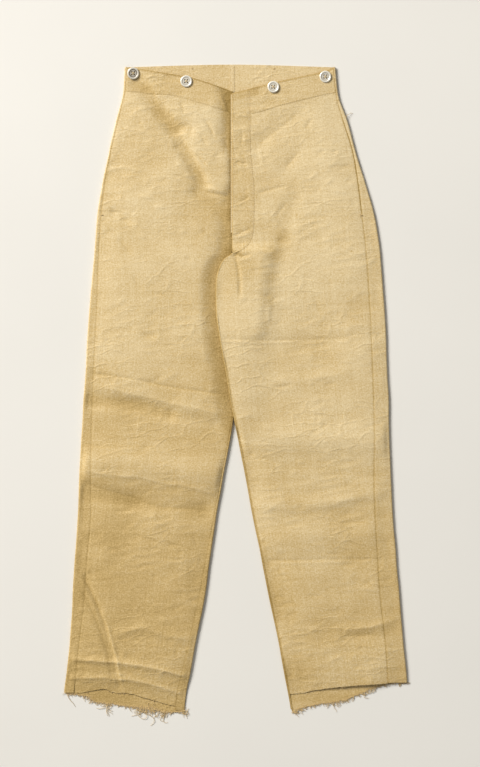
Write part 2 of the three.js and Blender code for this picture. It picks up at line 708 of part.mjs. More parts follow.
add("back_right", backPanel(RIGHT), linen());
add("back_left", backPanel(LEFT), linen());
add("front_right", frontPanel(RIGHT), linen());
add("front_left", frontPanel(LEFT), linen());
add("waistband_right", waistband(RIGHT), linen());
add("waistband_left", waistband(LEFT), linen());
add("fly_placket", placket(), linen());
add(
  "fly_underlap",
  strip({
    ...UNDERLAP,
    top: (x) => across(BAND_TOP_LEFT, x) - 2,
    foot: () => UNDERLAP.foot,
    rows: 8,
    columns: 2,
  }),
  linen(),
);
add(
  "centre_back_fell",
  strip({
    left: CENTRE_X - FELL.width / 2,
    right: CENTRE_X + FELL.width / 2,
    top: (x) => across(BACK_TOP, x) - 0.5,
    foot: () => FELL.foot,
    under: FELL.under,
    rows: 8,
    columns: 2,
  }),
  linen(),
);
for (const row of BUTTONS) add(row.name, button(row), metal());
add("hem_fray_right", fray({ leg: RIGHT, count: 24, long: LONG_THREADS_RIGHT }), linen());
add("hem_fray_left", fray({ leg: LEFT, count: 26, long: LONG_THREADS_LEFT }), linen());

export default group;
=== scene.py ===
"""Linen trousers laid flat: cloth, stitching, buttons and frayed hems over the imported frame."""
import math
from collections import namedtuple
from functools import partial
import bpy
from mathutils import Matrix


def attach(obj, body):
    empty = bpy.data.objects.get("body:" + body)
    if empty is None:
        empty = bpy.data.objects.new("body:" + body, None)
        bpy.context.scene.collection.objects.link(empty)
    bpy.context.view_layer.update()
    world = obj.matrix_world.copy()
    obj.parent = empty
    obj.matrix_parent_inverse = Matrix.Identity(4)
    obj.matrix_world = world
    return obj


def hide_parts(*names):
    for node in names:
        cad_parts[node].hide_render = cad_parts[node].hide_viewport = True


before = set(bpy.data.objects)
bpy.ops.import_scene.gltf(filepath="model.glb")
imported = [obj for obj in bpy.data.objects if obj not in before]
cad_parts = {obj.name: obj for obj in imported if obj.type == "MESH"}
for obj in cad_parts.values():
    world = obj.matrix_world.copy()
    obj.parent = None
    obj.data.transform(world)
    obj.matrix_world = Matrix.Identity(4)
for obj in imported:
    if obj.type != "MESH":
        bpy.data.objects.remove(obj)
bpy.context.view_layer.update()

from types import SimpleNamespace as Sizes

import bpy
import numpy as np
from bpy.props import FloatProperty, FloatVectorProperty, PointerProperty
from mathutils import Vector

bl_info = {
    "name": "Linen trousers",
    "version": (1, 0, 0),
    "blender": (4, 5, 0),
    "location": "3D View > Sidebar > Trousers",
    "description": "Makes high-waisted linen trousers laid flat, piece by piece",
    "category": "Object",
}

MM = 0.001

# --- sizes in millimetres; the first ones are the solids' own ---
EDGE_HEIGHT = 4.0  # over the outer faces of a folded leg edge
CLOTH = 1.0  # wall of the solids' cloth
BEND = (EDGE_HEIGHT - CLOTH) / 2  # radius of a fold at the middle of that wall
CROTCH_Y = 231.0
CENTRE_X = -6.0
FLY_FOOT_Y = 234.0
FLY_TURN_Y = 262.0
LAP_RIGHT_X = 16.5  # outer edge of the underlap, beneath the placket
LAP_FOOT_Y = 264.0
FELL_HALF = 3.8
CURL_LENGTH = 9.0
OPEN_CURL = 0.2  # radians that a back turns up by along the open crotch seam
OPEN_LIP = 0.6
LIFT = 4.5  # of the left leg where it lies on the right one
LIFT_FROM = 2.5
LIFT_RUN = 14.0
LIFT_TOP_Y = 252.0
CROWN_REACH = 28.0
RELIEF_REACH = 5.0
PIECE_GAP = 0.04  # between pieces that are sewn edge to edge
UNDER_FLY = Sizes(run=3.9, drop=1.1, start=3.0, over=2.6, foot=250, fade=12, tuck=8)
PROUD = 0.3  # how far the bands and the placket stand over the fronts
COVER = Sizes(run=27.0, short=2.0, drop=1.9)  # the right leg's fall beside and under the left
LEAST_FORM = -1.9  # folds don't reach below this, where the layers touch
PASSES = 8  # of finding x and y together along slanting lines


# --- tables ---
def table(columns, *rows):
    """Named columns of numbers, each an array."""
    return dict(zip(columns.split(), np.array(rows, dtype=float).T))


Fold = namedtuple("Fold", "width rise path")


def folds(*rows):
    """Folds from rows of half-width, rise, and x and y at each corner of their line."""
    return [Fold(row[0], row[1], np.reshape(row[2:], (-1, 2))) for row in rows]


RIGHT_LEG = table(
    "y edge seam inner inseam",
    (534, -177.2, -173.2, -6.15, -8.9), (491, -179.9, -176.7, -6.15, -8.9),
    (475, -183.1, -180.3, -6.15, -8.9), (444, -191.6, -188.1, -6.15, -8.9),
    (396, -202.2, -199.3, -6.15, -8.9), (348, -212.9, -208.8, -6.15, -8.9),
    (292, -221.6, -215.4, -6.15, -8.9), (252, -224.9, -218.3, -6.15, -8.9),
    (231, -226.4, -219.3, -6.15, -8.9), (223, -227, -219.7, -1.2, -4), (211, -228.2, -220.3, 3.4, 0.6),
    (188, -230.2, -221, 8.4, 5.6), (140, -234.3, -222.6, 11.6, 8.8), (92, -238, -224.9, 10, 7.2),
    (44, -239.9, -227.7, 6, 3.2), (-15, -244.6, -230, -1, -3.8), (-68, -247.3, -231.5, -9, -11.8),
    (-132, -250.9, -232.4, -20.9, -23.9), (-196, -253.3, -232.6, -31.8, -36.2),
    (-260, -257.9, -238.4, -40.9, -48.2), (-324, -261.4, -242.7, -50, -60),
    (-388, -265.2, -250.2, -62.8, -74.4), (-444, -271.5, -256.1, -72.8, -87.1),
    (-471, -274.8, -259.1, -79, -93.8), (-509, -275, -260, -83.5, -98.5),
)
LEFT_LEG = table(
    "y edge seam inner inseam",
    (534, 158.8, 155.6, -5.85, -3), (491, 163, 159.8, -5.85, -3), (475, 166.6, 162.4, -5.85, -3),
    (444, 178.1, 171.4, -5.85, -3), (396, 191.4, 186.4, -5.85, -3), (348, 206.2, 195, -5.85, -3),
    (292, 221.7, 201.8, -5.85, -3), (252, 228.7, 206.8, -5.85, -3), (231, 231.3, 208.8, -6.4, -3.5),
    (223, 232.1, 209.5, -17.7, -14.8), (211, 233.2, 210.4, -25.7, -22.8), (188, 235.2, 212, -32, -29.1),
    (140, 238.6, 215, -32.1, -29.2), (92, 241, 217.2, -25.8, -22.9), (44, 242.8, 219.1, -17, -14.1),
    (-15, 245.4, 220.9, -7.2, -4.3), (-68, 246.4, 221.8, 4.1, 7), (-132, 248.7, 221.1, 16.2, 19.1),
    (-196, 252.2, 223.4, 28.1, 31), (-260, 257.4, 226.9, 41.5, 44.4), (-324, 263, 231.4, 54, 56.9),
    (-388, 268.2, 238.8, 67.5, 70.4), (-444, 274.2, 242.8, 77.9, 80.8), (-471, 275.6, 244.4, 83.1, 86),
    (-509, 275, 245.2, 90, 92.9),
)
FLY_LINE = table(
    "y x",
    (500, 24), (424, 24.2), (387, 25.5), (335, 30.2), (295, 30.5), (265, 29), (247, 23), (238, 14),
    (234, 7), (231, -3.2),
)
BACK_TOP = table("x y", (-178, 529), (-6, 533.3), (160, 529))
BAND_TOP_RIGHT = table(
    "x y",
    (-176.4, 528.3), (-150, 525.1), (-88.6, 515), (-65.5, 510.3), (-24.6, 497), (-7.9, 490.6),
)
BAND_TOP_LEFT = table(
    "x y",
    (-7.9, 486.8), (3.6, 488.9), (44.6, 499.6), (70.2, 506), (129, 518.8), (158.5, 527.8),
)
BAND_FOOT_RIGHT = table(
    "x y",
    (-178, 489.8), (-129.5, 484.7), (-94, 481), (-57.8, 470.2), (-24.6, 460.4), (-7.9, 455),
)
BAND_FOOT_LEFT = table("x y", (24, 453), (39.4, 456.1), (70.2, 465.8), (131.6, 481.1), (161, 488.1))
FRONT_HEM_RIGHT = table(
    "x y",
    (-275, -472.6), (-248, -472.6), (-228, -468.5), (-208, -466.8), (-198, -472), (-170, -473.6),
    (-136, -483.4), (-102, -492.8), (-84, -496),
)
BACK_HEM_RIGHT = table(
    "x y",
    (-275, -472.6), (-257, -475), (-238, -478.5), (-227, -486.5), (-209, -488.6), (-180, -493.4),
    (-136, -497.2), (-118, -502), (-92, -503.4), (-83, -500.6),
)
FRONT_HEM_LEFT = table(
    "x y",
    (84, -474.4), (109, -472.6), (132, -467.8), (176, -462.2), (242, -457.4), (275, -455.8),
)
BACK_HEM_LEFT = table(
    "x y",
    (86, -495), (92, -503.5), (101, -498.2), (122, -492.6), (176, -483.8), (192, -477.4), (221, -464.6),
    (235, -459.6), (275, -455.8),
)
RIGHT_FOLDS = folds(
    # drags over the hip
    (13, -1.15, -155, 504, -117, 449, -104, 432), (10, -0.9, -98, 424, -81, 401, -51, 340),
    (9, -0.9, -118, 458, -98, 438, -74, 427), (9, -0.7, -92, 400, -75, 378, -57, 352),
    (13, -0.9, -62, 330, -38, 312, -14, 290),
    # hollow beside the fly
    (15, -1.9, -12, 500, -7, 452, -5, 408), (8, -1, -4, 408, -4, 318),
    (16, -1.3, -5, 318, -8, 275, -12, 236), (8, -0.5, -194, 296, -172, 284),
    # knee
    (10, 0.2, -217, 17, -129, -2, -32, -26), (12, -1.1, -228, -4, -165, -11, -110, -25),
    (10, -0.5, -100, -28, -36, -42),
    # below the knee
    (30, 1.7, -232, -104, -41, -124), (15, -1.1, -238, -150, -168, -166), (16, -0.7, -150, -170, -56, -182),
    # shin
    (5, -0.45, -241, -288, -218, -338, -199, -404, -186, -462),
    (8, 0.35, -188, -377, -148, -367, -75, -386),
    # old hem folds
    (6, 0.5, -262, -417, -170, -425, -78, -445), (6, 0.5, -262, -448, -170, -451, -84, -474),
)
LEFT_FOLDS = folds(
    # drags from the front button
    (14, -0.38, 104, 457, 53, 419, 32, 399), (12, -0.25, 102, 395, 77, 363), (14, -0.4, 96, 318, 74, 286),
    # trough down the thigh
    (12, -0.38, 86, 282, 72, 240, 64, 214, 56, 156, 51, 104),
    # thigh
    (12, -0.2, -20, 91, 44, 88, 157, 91, 236, 99), (13, 0.25, 60, 20, 104, 27, 172, 38),
    # knee and shin
    (24, 1.1, 12, -64, 225, -68), (12, 0.55, 46, -172, 150, -168, 226, -152),
    (18, 0.6, 60, -225, 210, -218), (12, -0.25, 44, -263, 228, -260),
    (9, 0.3, 167, -372, 216, -367, 258, -356), (9, -0.25, 176, -385, 240, -382),
    # lifted hem
    (14, 0.5, 160, -466, 236, -456),
)
RIGHT_CREASES = folds(
    # pressed end of the band
    (3.2, 0.5, -27, 489, -16, 463, -11, 457),
    # hip and seat drags
    (3.5, -0.65, -155, 504, -132, 487, -130, 475, -117, 449, -102, 431, -91, 425),
    (3.8, -0.65, -91, 425, -81, 402, -70, 387, -57, 359, -51, 340),
    (4.8, -0.72, -104, 428, -86, 433, -68, 439), (2.9, -0.51, -89, 476, -81, 451),
    (2.2, -0.8, -54, 450, -44, 437, -38, 427, -34, 411), (2.2, -0.4, -104, 358, -62, 345, -33, 341),
    (2.9, -0.58, -57, 423, -46, 402), (2.4, -0.9, -65, 393, -55, 380, -44, 369),
    (2.9, -0.51, -68, 335, -57, 318),
    # by the pocket
    (3.2, 0.51, -212, 363, -180, 369, -147, 361), (3.2, -0.51, -204, 297, -177, 297),
    (3.2, -0.43, -216, 283, -204, 283), (3.2, -0.51, -185, 284, -168, 284),
    (5.6, -0.58, -190, 259, -164, 225),
    # across below the fly
    (2.6, -1.01, -54, 331, -35, 326, -6, 320), (3.5, 0.51, -57, 338, -35, 333, -11, 327),
    # thigh
    (3.2, -0.35, -164, 199, -158, 182, -142, 172), (3.2, -0.35, -166, 146, -147, 129),
    (3.2, 0.35, -166, 107, -134, 118), (3.2, 0.35, -129, 116, -91, 123), (6.4, -0.5, -153, 99, -121, 99),
    # knee
    (2.6, -0.6, -238, 44, -222, 38, -166, 30, -105, 17, -60, 11, -12, 3),
    (3.8, 0.4, -217, 17, -196, 14, -160, 4, -129, -2, -108, -9, -72, -15, -44, -21, -24, -28),
    (4.8, -0.45, -248, -73, -206, -79), (3.2, -0.3, -248, -89, -233, -89),
    # below the knee
    (3.8, 0.5, -249, -113, -220, -121, -184, -125, -152, -127, -115, -137, -89, -140, -62, -145, -30, -157),
    (4.8, -0.5, -244, -135, -220, -145, -180, -156, -152, -165, -128, -175, -51, -180, -35, -186),
    # shin
    (3.2, -0.4, -168, -217, -120, -233), (3.2, -0.4, -128, -255, -78, -261),
    (3.2, -0.35, -70, -218, -60, -241),
    # fold from the side seam
    (2.2, -0.85, -244, -286, -236, -302, -223, -329, -211, -356, -204, -376),
    (2.6, 0.85, -218, -338, -204, -367, -194, -404, -190, -418, -187, -436, -180, -466),
    (4.4, -0.7, -248, -305, -228, -343, -216, -375, -204, -412, -196, -461),
    (2.9, -0.35, -208, -389, -202, -407),
    (3.4, 0.4, -188, -377, -169, -372, -148, -367, -126, -377, -108, -381, -88, -385, -75, -388),
    (2.9, 0.35, -184, -389, -136, -397), (2.9, -0.35, -84, -394, -78, -405),
    # old hem folds
    (2.4, 0.85, -271, -417, -246, -420, -221, -421, -194, -423, -170, -426, -148, -429, -127, -433, -105,
        -439, -88, -444, -73, -445),
    (2.4, 0.85, -272, -448, -248, -449, -208, -447, -194, -451, -170, -451, -149, -455, -125, -461, -95,
        -471, -80, -476),
)
LEFT_CREASES = folds(
    # hip drags
    (3.5, -0.25, 104, 457, 74, 433, 53, 419, 32, 399), (3.8, -0.45, 124, 449, 109, 427),
    (3.8, -0.4, 102, 395, 77, 363), (3.8, -0.4, 83, 315, 61, 284), (3.8, -0.35, 175, 347, 192, 347),
    (3.8, -0.35, 183, 315, 196, 308), (2.9, -0.3, 168, 369, 188, 369),
    # across below the fly
    (2.9, -0.45, 30, 325, 50, 331, 83, 340),
    # fly
    (2.6, -0.75, -3, 377, 9, 375, 20, 373), (3.2, -0.3, 9, 434, 11, 418, 7, 400),
    (2.6, 0.35, -3, 448, 8, 452, 22, 449), (3.2, -0.5, 4, 308, 23, 323),
    (3.5, -0.6, -4, 260, 12, 265, 29, 273), (3.5, -0.45, -4, 247, 20, 247), (3.2, 0.4, -4, 254, 26, 263),
    # drags from the crotch
    (1.9, -1.05, -8, 246, -1, 227, 3, 212, 6, 192, 7, 158), (2.4, -1.1, -8, 240, 2, 229, 9, 226, 27, 228),
    # thigh
    (4.8, 0.6, 55, 159, 53, 140, 52, 115), (3.2, -0.35, 123, 171, 136, 132),
    (3.2, -0.35, 104, 195, 127, 187), (2.8, 0.3, -27, 90, 44, 87, 100, 89),
    (2.8, -0.3, -27, 94, 44, 91, 157, 94, 200, 101, 240, 102), (3.8, 0.35, 144, 89, 168, 57),
    # knee
    (3.2, -0.3, 20, 18, 60, 16, 98, 22), (3.8, 0.25, 104, 27, 172, 38), (4.8, -0.45, 140, 22, 162, 22),
    (4.2, 0.45, -1, -34, 28, -26), (3.2, -0.35, 226, -47, 245, -28),
    # shin
    (3.2, 0.4, 4, -69, 21, -74), (3.2, 0.35, 88, -122, 100, -117), (3.2, 0.35, 96, -103, 111, -103),
    (3.2, 0.35, 169, -92, 186, -100), (3.2, 0.35, 135, -73, 151, -68), (3.2, 0.4, 39, -186, 64, -172),
    (3.2, 0.4, 31, -191, 68, -191), (3.5, 0.45, 152, -169, 189, -162), (3.8, -0.45, 186, -168, 221, -162),
    (3.5, -0.4, 160, -202, 213, -197), (3.2, -0.35, 37, -231, 50, -231), (3.2, -0.35, 141, -250, 172, -250),
    (2.9, -0.35, 44, -261, 135, -259, 228, -258), (2.9, 0.25, 60, -265, 135, -264, 180, -263),
    (3.2, -0.35, 56, -319, 84, -319), (3.2, -0.35, 114, -317, 141, -317),
    (3.8, 0.6, 167, -372, 216, -367, 231, -362, 263, -354), (4.6, -0.35, 173, -381, 228, -378),
    (3.2, -0.3, 71, -404, 87, -404), (3.2, -0.3, 79, -445, 93, -445),
    # old hem fold
    (3.5, 0.4, 186, -435, 244, -429, 272, -427), (3.2, 0.4, 152, -466, 157, -476),
)

BUTTONS = {
    # name: x, y, tilt in degrees, dullness
    "button_right_side": (-164.1, 518.5, 12, 0.55), "button_right_front": (-79.1, 505.7, 2, 0.0),
    "button_left_front": (60.2, 496.7, -2, 0.12), "button_left_side": (143.4, 513.2, 3, 0.05),
}
# A button's face from its middle out over the rim and back in beneath.
BUTTON_SECTION = table(
    "r z",
    (0.0, 1.5), (2.6, 1.5), (5.2, 1.48), (5.9, 1.4), (6.4, 1.7), (7.1, 2.1), (7.9, 2.25),
    (8.6, 2.15), (9.15, 1.8), (9.45, 1.35), (9.3, 0.95), (8.6, 0.6), (7.2, 0.35),
    (5.0, 0.15), (0.0, 0.1),
)
BUTTON = Sizes(
    segments=80, steps=84, stand=0.1, tilt_stand=6.0, rim=6.0, rim_run=1.2, groove=0.6, face=0.35,
    pit_tone=1.6, groove_tone=0.7,
)
BUTTON_HOLE = Sizes(radius=1.3, circle=3.0, depth=1.0, wall=0.3)
QUARTERS = (0.5, 1.5, 2.5, 3.5)  # the holes' places, in quarter turns
BUTTON_THREAD = Sizes(points=13, foot=0.7, arch=1.0, more=0.2, flatness=0.6, apart=0.32, sides=6)
BACK_BUTTON_MARKS = ((-69.4, 527.3), (61.7, 526.6))
POCKET = Sizes(top=452.0, foot=292.0, fade=8)
# Dark spots in the tone. The five along the trough down the left thigh and the two small ones at the crotch
# are painted shade; the other small ones are stains; the broad one below the crotch is a darker patch.
STAINS_AND_SHADE = table(
    "x y radius depth",
    (8, 205, 30, 0.22), (74, 257, 13, 0.24), (63, 226, 12, 0.24), (57, 192, 11, 0.2), (52, 155, 11, 0.18),
    (49, 118, 10, 0.1), (3, 230.5, 2.6, 0.45), (7.5, 228, 2.6, 0.45), (-180.9, 430.3, 1.6, 0.4),
    (-112.7, 381.4, 1.5, 0.35), (-54.6, 393, 1.5, 0.35), (185.5, 234.2, 1.5, 0.4), (96.9, 292.2, 1.8, 0.35),
    (-79, -406, 1.8, 0.5),
)
# Where the left leg's lift starts to be let down across it, and over what distance.
BRIDGE = table(
    "y start run",
    (-68, 8, 62), (-15, -4, 62), (44, -12, 80), (84, -4, 80), (104, 31, 44), (150, 34, 44), (196, 36, 44),
    (230, 40, 44), (262, 48, 46),
)
# The shaded valley beside the fly.
VALLEY = table(
    "y reach shade",
    (500, 18, 0.1), (482, 18, 0.9), (450, 11.5, 1.0), (410, 6, 0.9), (370, 4, 0.9), (330, 5, 0.6),
    (300, 9, 0.5), (262, 15, 0.6), (231, 15, 0.5),
)
CRUMPLE = table(
    "pitch squash rise ridged",
    (75, 1.3, 0.5, 0), (34, 1.6, 0.16, 0), (30, 2.6, 0.16, 1), (17, 2.2, 0.05, 1),
)
SMALL_CREASES = Sizes(
    count=170, y=(-470, 440), across=(0.06, 0.94), turn=0.45, half=(4, 19), kink=0.12, width=(1.8, 4.2),
    rise=(0.12, 0.42),
)
SEAM = Sizes(
    width=1.3, depth=0.2, pocket_width=0.8, pocket_depth=0.1, inner=0.1, bare_from=90, bare_run=50,
)
PRESS = Sizes(share=0.5, start=-425, run=65)  # of the legs' last stretch above their hems
RAVEL = Sizes(depth=0.54, pitch=9.0, fine=0.6, fine_pitch=2.6)
PATCH = Sizes(pitch=55.0, contrast=1.2)  # where ridged rumples come and go
# The left band's end: its foot's line, the x of its slanted fold, and how soft both are.
TURNED_END = Sizes(foot_x=(-4.4, 35.6), foot_y=(473.4, 482.0), fold_x=38.2, side=4.0, foot=2.6)
# Tone weights. hip, hem, their sides, start and run make a painted fall of light; edge, crease, the fold
# shading, crest, valley and cover are painted light and shade; seam and pocket darken the seams.
TONE = Sizes(
    hip=0.72, hem=0.44, hip_side=0.04, hem_side=0.09, start=330, run=830, edge=0.75, edge_width=1.7,
    crease=0.2, hollow=0.19, hollow_from=0.3, crest=0.5, crest_from=0.2, seam=0.26, seam_side=0.3,
    seam_width=0.8, pocket=0.4, cover=0.4, valley=0.5, back=-0.06, band=-0.12, placket=-0.08, turned=-0.2,
)
STITCH = Sizes(
    length=2.3, gap=0.9, radius=0.2, thinner=0.45, inset=2.6, foot_inset=1.8, fly_inset=1.7, side_inset=2.4,
    points=6, sides=5, stand=0.12, dip=0.42,
)
TACK = Sizes(
    count=9, half=1.2, stand=0.25, dip=0.4, left=(198.5, 203.0, 291.5), right=(-215.5, -212.0, 292.0),
)
CROSS = Sizes(half=3.2, height=0.95, dip=0.5, count=5)  # where back buttons are sewn on
FELL_STITCH = Sizes(half=1.15, height=1.05, dip=0.35, count=19, top=529, foot=470)
ROWS = Sizes(
    right=(-172.0, -10.5), left=(26.5, 153.0), samples=240, side_top=3, side_foot=300, side_samples=300,
    fly_top=492, fly_past=1.5, fly_samples=420,
)
FRAY = Sizes(radius=0.36, least=0.18, short=110, matted=190, fuzz=150, reach=3.4, under=1.0)
# How every loose thread wanders and lies down: the beats of its two sines, its hump and the
# height it comes down to.
WANDER = Sizes(
    beat=(2.5, 6.0), quicker=1.7, share=0.6, hump=(0.2, 1.0), full_hump=12, rest=0.35, descent=1.6,
)
LONG = Sizes(height=0.8, reach=(0.75, 1.3), lean=0.3, curl=(0.7, 1.2), places=20, sides=6, tone=(0.3, 1))
SHORT = Sizes(
    gamma=(1.6, 0.55), least=0.8, lean=0.45, curl=(0.1, 0.9), height=0.7, places=9, sides=4, tone=(0, 0.9),
)
MATTED = Sizes(reach=(3, 9), lean=(0.9, 1.45), curl=(0.1, 0.5))
FUZZ = Sizes(
    sunk=0.35, gamma=(1.5, 0.8), least=0.8, lean=0.7, curl=(0.1, 1.2), places=7, sag=0.25, lowest=1.0,
    finer=0.8, sides=4, tone=(0, 1),
)
STRAY = Sizes(places=16, height=4.2, drop=3.6, bend=0.7, thick=0.4, thin=0.25, sides=5, tone=0.3)
# Where long loose threads hang together: from and to along the hem, how many, how far they
# reach down, their lean, and how strongly they curl.
TUFTS = {
    "right": table(
        "low high count reach lean curl",
        (-276, -262, 6, 10, -0.1, 0.9), (-216, -199, 7, 20, 0.0, 0.7), (-172, -162, 2, 10, 0.2, 1.0),
        (-151, -129, 28, 24, 0.1, 2.3), (-147, -143, 2, 34, 0.1, 0.8), (-130, -113, 12, 19, 0.1, 1.5),
        (-92, -83, 11, 15, 1.0, 1.2),
    ),
    "left": table(
        "low high count reach lean curl",
        (91, 103, 6, 13, 0.4, 1.5), (105, 117, 4, 10, -0.2, 1.2), (147, 164, 5, 15, 0.1, 1.5),
        (166, 190, 5, 8, 0.2, 1.1), (204, 214, 4, 14, 0.2, 1.1), (214, 240, 4, 6, 0.0, 0.9),
    ),
}
STRAY_THREAD = table("x y", (176.4, 448.5), (178.0, 452.4), (181.6, 453.6), (184.2, 456.0), (187.6, 455.2))


# --- reading the tables ---
def smooth(t):
    """3t^2 - 2t^3, with t held between 0 and 1."""
    t = np.clip(t, 0, 1)
    return t * t * (3 - 2 * t)


def bell(q):
    """exp(-q^2): 1 at q = 0, and next to nothing past q = 2."""
    return np.exp(-q * q)


def blend(a, b, t):
    """a at t = 0 and b at t = 1."""
    return a + (b - a) * t


def steps(count):
    """Even steps from 0 to 1."""
    return np.linspace(0, 1, count)


def unit_grid(rows, columns):
    """u across and v down a grid, both from 0 to 1."""
    return np.meshgrid(steps(columns), steps(rows))


def read(rows, column, at, by="y"):
    """A column as a smooth curve: the cubic through each pair of rows whose slope at a row
    is that from the row before to the row after."""
    order = np.argsort(rows[by])
    key, value = rows[by][order], rows[column][order]
    places = np.arange(len(key))
    low, high = np.maximum(places - 1, 0), np.minimum(places + 1, len(key) - 1)
    slope = (value[high] - value[low]) / (key[high] - key[low])
    i = np.clip(np.searchsorted(key, at) - 1, 0, len(key) - 2)
    span = key[i + 1] - key[i]
    t = np.clip((at - key[i]) / span, 0, 1)
    return (
        value[i] * (1 + 2 * t) * (1 - t) ** 2
        + value[i + 1] * t * t * (3 - 2 * t)
        + span * (slope[i] * t * (1 - t) ** 2 - slope[i + 1] * t * t * (1 - t))
    )


def across(rows, x):
    """Height up the garment of an edge that runs across it."""
    return read(rows, "y", x, by="x")


def fly_line(y):
    """Outer edge of the placket."""
    return read(FLY_LINE, "x", y)


# --- relief ---
TIP = 14.0  # a crease fades in over this length at each end
REACH = 3.5  # folds are worked out this many half-widths away
CREST = 0.15  # how round the crest of a sharp crease is, in half-widths
SHARPNESS = 1.5
NOISE_SIDE = 256  # squares along a side before the noise repeats
LEAN = 0.18  # of the rumples, to one side and the other by turns
ROUND = 0.015  # rounds the crests of the ridged ones


def off_path(x, y, path):
    """Distance to the nearest stretch of a line of corners, the place along it, its length."""
    nearest, along, gone = np.full(x.shape, np.inf), np.zeros(x.shape), 0.0
    for start, end in zip(path[:-1], path[1:]):
        run = end - start
        length = float(np.hypot(*run))
        t = np.clip(((x - start[0]) * run[0] + (y - start[1]) * run[1]) / length**2, 0, 1)
        distance = np.hypot(x - start[0] - t * run[0], y - start[1] - t * run[1])
        along = np.where(distance < nearest, gone + t * length, along)
        nearest = np.minimum(nearest, distance)
        gone += length
    return nearest, along, gone


def relief(x, y, lines, sharp):
    """Sum over folds of rise times exp(-q^2), q being distance over half-width. A sharp one
    has exp(-SHARPNESS sqrt(q^2 + CREST^2)) in its place, and fades at its two ends."""
    total = np.zeros(x.shape)
    for fold in lines:
        path = np.array(fold.path, dtype=float)
        (x0, y0), (x1, y1) = path.min(0) - REACH * fold.width, path.max(0) + REACH * fold.width
        near = (x > x0) & (x < x1) & (y > y0) & (y < y1)
        if not near.any():
            continue
        distance, along, length = off_path(x[near], y[near], path)
        q = distance / fold.width
        if sharp:
            ends = smooth(np.minimum(along, length - along) / min(TIP, length / 3))
            shape = ends * np.exp(-SHARPNESS * np.hypot(q, CREST))
        else:
            shape = bell(q)
        total[near] += fold.rise * shape
    return total


def lattice(x, y, pitch, seed):
    """Smooth noise from -1 to 1: seeded values at the corners of squares, joined by smooth
    steps along both sides."""
    values = np.random.default_rng(seed).uniform(-1, 1, (NOISE_SIDE, NOISE_SIDE))
    u, v = x / pitch + 100, y / pitch + 100
    i, j = np.floor(u).astype(int), np.floor(v).astype(int)
    s, t = smooth(u - i), smooth(v - j)
    a, b, c, d = (values[(i + p) % NOISE_SIDE, (j + q) % NOISE_SIDE] for q in (0, 1) for p in (0, 1))
    return blend(blend(a, b, s), blend(c, d, s), t)


def crumple(x, y, seed):
    """Layers of smooth noise n at falling sizes, squashed up and down the leg. A ridged layer
    is rise (1 - 2 sqrt|n|), whose crests are thin lines, and comes and goes over the cloth."""
    total = np.zeros(x.shape)
    patch = smooth(0.5 + PATCH.contrast * lattice(x, y, PATCH.pitch, seed + 9))
    for k, (pitch, squash, rise, ridged) in enumerate(zip(*CRUMPLE.values())):
        lean = LEAN * (-1) ** k
        n = lattice(x + lean * y, squash * (y - lean * x), pitch, seed + k)
        total += rise * ((1 - 2 * np.sqrt(np.abs(n) + ROUND)) * patch if ridged else n)
    return total


def small_creases(rows, seed):
    """Seeded short creases over a leg, mostly lying across it."""
    rng = np.random.default_rng(seed)
    n = SMALL_CREASES.count
    y = rng.uniform(*SMALL_CREASES.y, n)
    x = blend(read(rows, "edge", y), read(rows, "inner", y), rng.uniform(*SMALL_CREASES.across, n))
    turn = rng.normal(0.0, SMALL_CREASES.turn, n)
    half = rng.uniform(*SMALL_CREASES.half, n)
    dx, dy = half * np.cos(turn), half * np.sin(turn)
    kink = rng.normal(0, SMALL_CREASES.kink, n) * half
    width = rng.uniform(*SMALL_CREASES.width, n)
    rise = rng.uniform(*SMALL_CREASES.rise, n) * rng.choice([-1, -1, 1], n)
    return [
        Fold(w, r, ((a - p, b - q), (a - k * q / h, b + k), (a + p, b + q)))
        for a, b, p, q, k, h, w, r in zip(x, y, dx, dy, kink, half, width, rise)
    ]


# --- the two legs ---
class Leg(namedtuple("Leg", "name side rows folds creases front_hem back_hem band_top band_foot seed")):
    """A leg's tables. side is -1 for the right leg and 1 for the left one."""

    def at(self, line, y):
        """x of one of its lines at heights y."""
        return read(self.rows, line, y)

    def near(self, line, x, y, width):
        """A bell of one width across one of its lines."""
        return bell((x - self.at(line, y)) / width)

    def fine(self, x, y):
        """Its creases and rumples."""
        return relief(x, y, self.creases, sharp=True) + crumple(x, y, self.seed)


RIGHT = Leg(
    "right", -1, RIGHT_LEG, RIGHT_FOLDS, [*RIGHT_CREASES, *small_creases(RIGHT_LEG, 11)],
    FRONT_HEM_RIGHT, BACK_HEM_RIGHT, BAND_TOP_RIGHT, BAND_FOOT_RIGHT, 21,
)
LEFT = Leg(
    "left", 1, LEFT_LEG, LEFT_FOLDS, [*LEFT_CREASES, *small_creases(LEFT_LEG, 12)],
    FRONT_HEM_LEFT, BACK_HEM_LEFT, BAND_TOP_LEFT, BAND_FOOT_LEFT, 31,
)


def in_from_fold(leg, x, y):
    """Distance in from the nearer folded edge. Above the crotch the inner one is a point."""
    outer = np.abs(x - leg.at("edge", y))
    inner = x - leg.at("inner", np.minimum(y, CROTCH_Y))
    return np.minimum(outer, np.hypot(inner, np.maximum(0, y - CROTCH_Y)))


def past_crotch(y):
    """0 a little above the crotch, rising smoothly to 1 at it and below."""
    return smooth((LIFT_TOP_Y - y) / (LIFT_TOP_Y - CROTCH_Y))


def lifted(leg, x, y):
    """How far the left leg is raised over the right: LIFT, smoothly let down in y above the
    crotch and in x beside the right leg."""
    if leg.side < 0:
        return np.zeros(np.shape(x))
    start = RIGHT.at("inner", y) + LIFT_FROM
    return LIFT * past_crotch(y) * (1 - smooth((x - start) / LIFT_RUN))


def beneath(leg, x, y):
    """1 on the right leg where the left one lies on it, 0 away from there."""
    if leg.side > 0:
        return np.zeros(np.shape(x))
    return past_crotch(y) * smooth(1 + (x - LEFT.at("inner", y) + COVER.short) / COVER.run)


def pocket_mouth(y):
    """1 along the pocket's mouth, which is a stretch of the side seam."""
    return smooth((POCKET.top - y) / POCKET.fade) * smooth((y - POCKET.foot) / POCKET.fade)


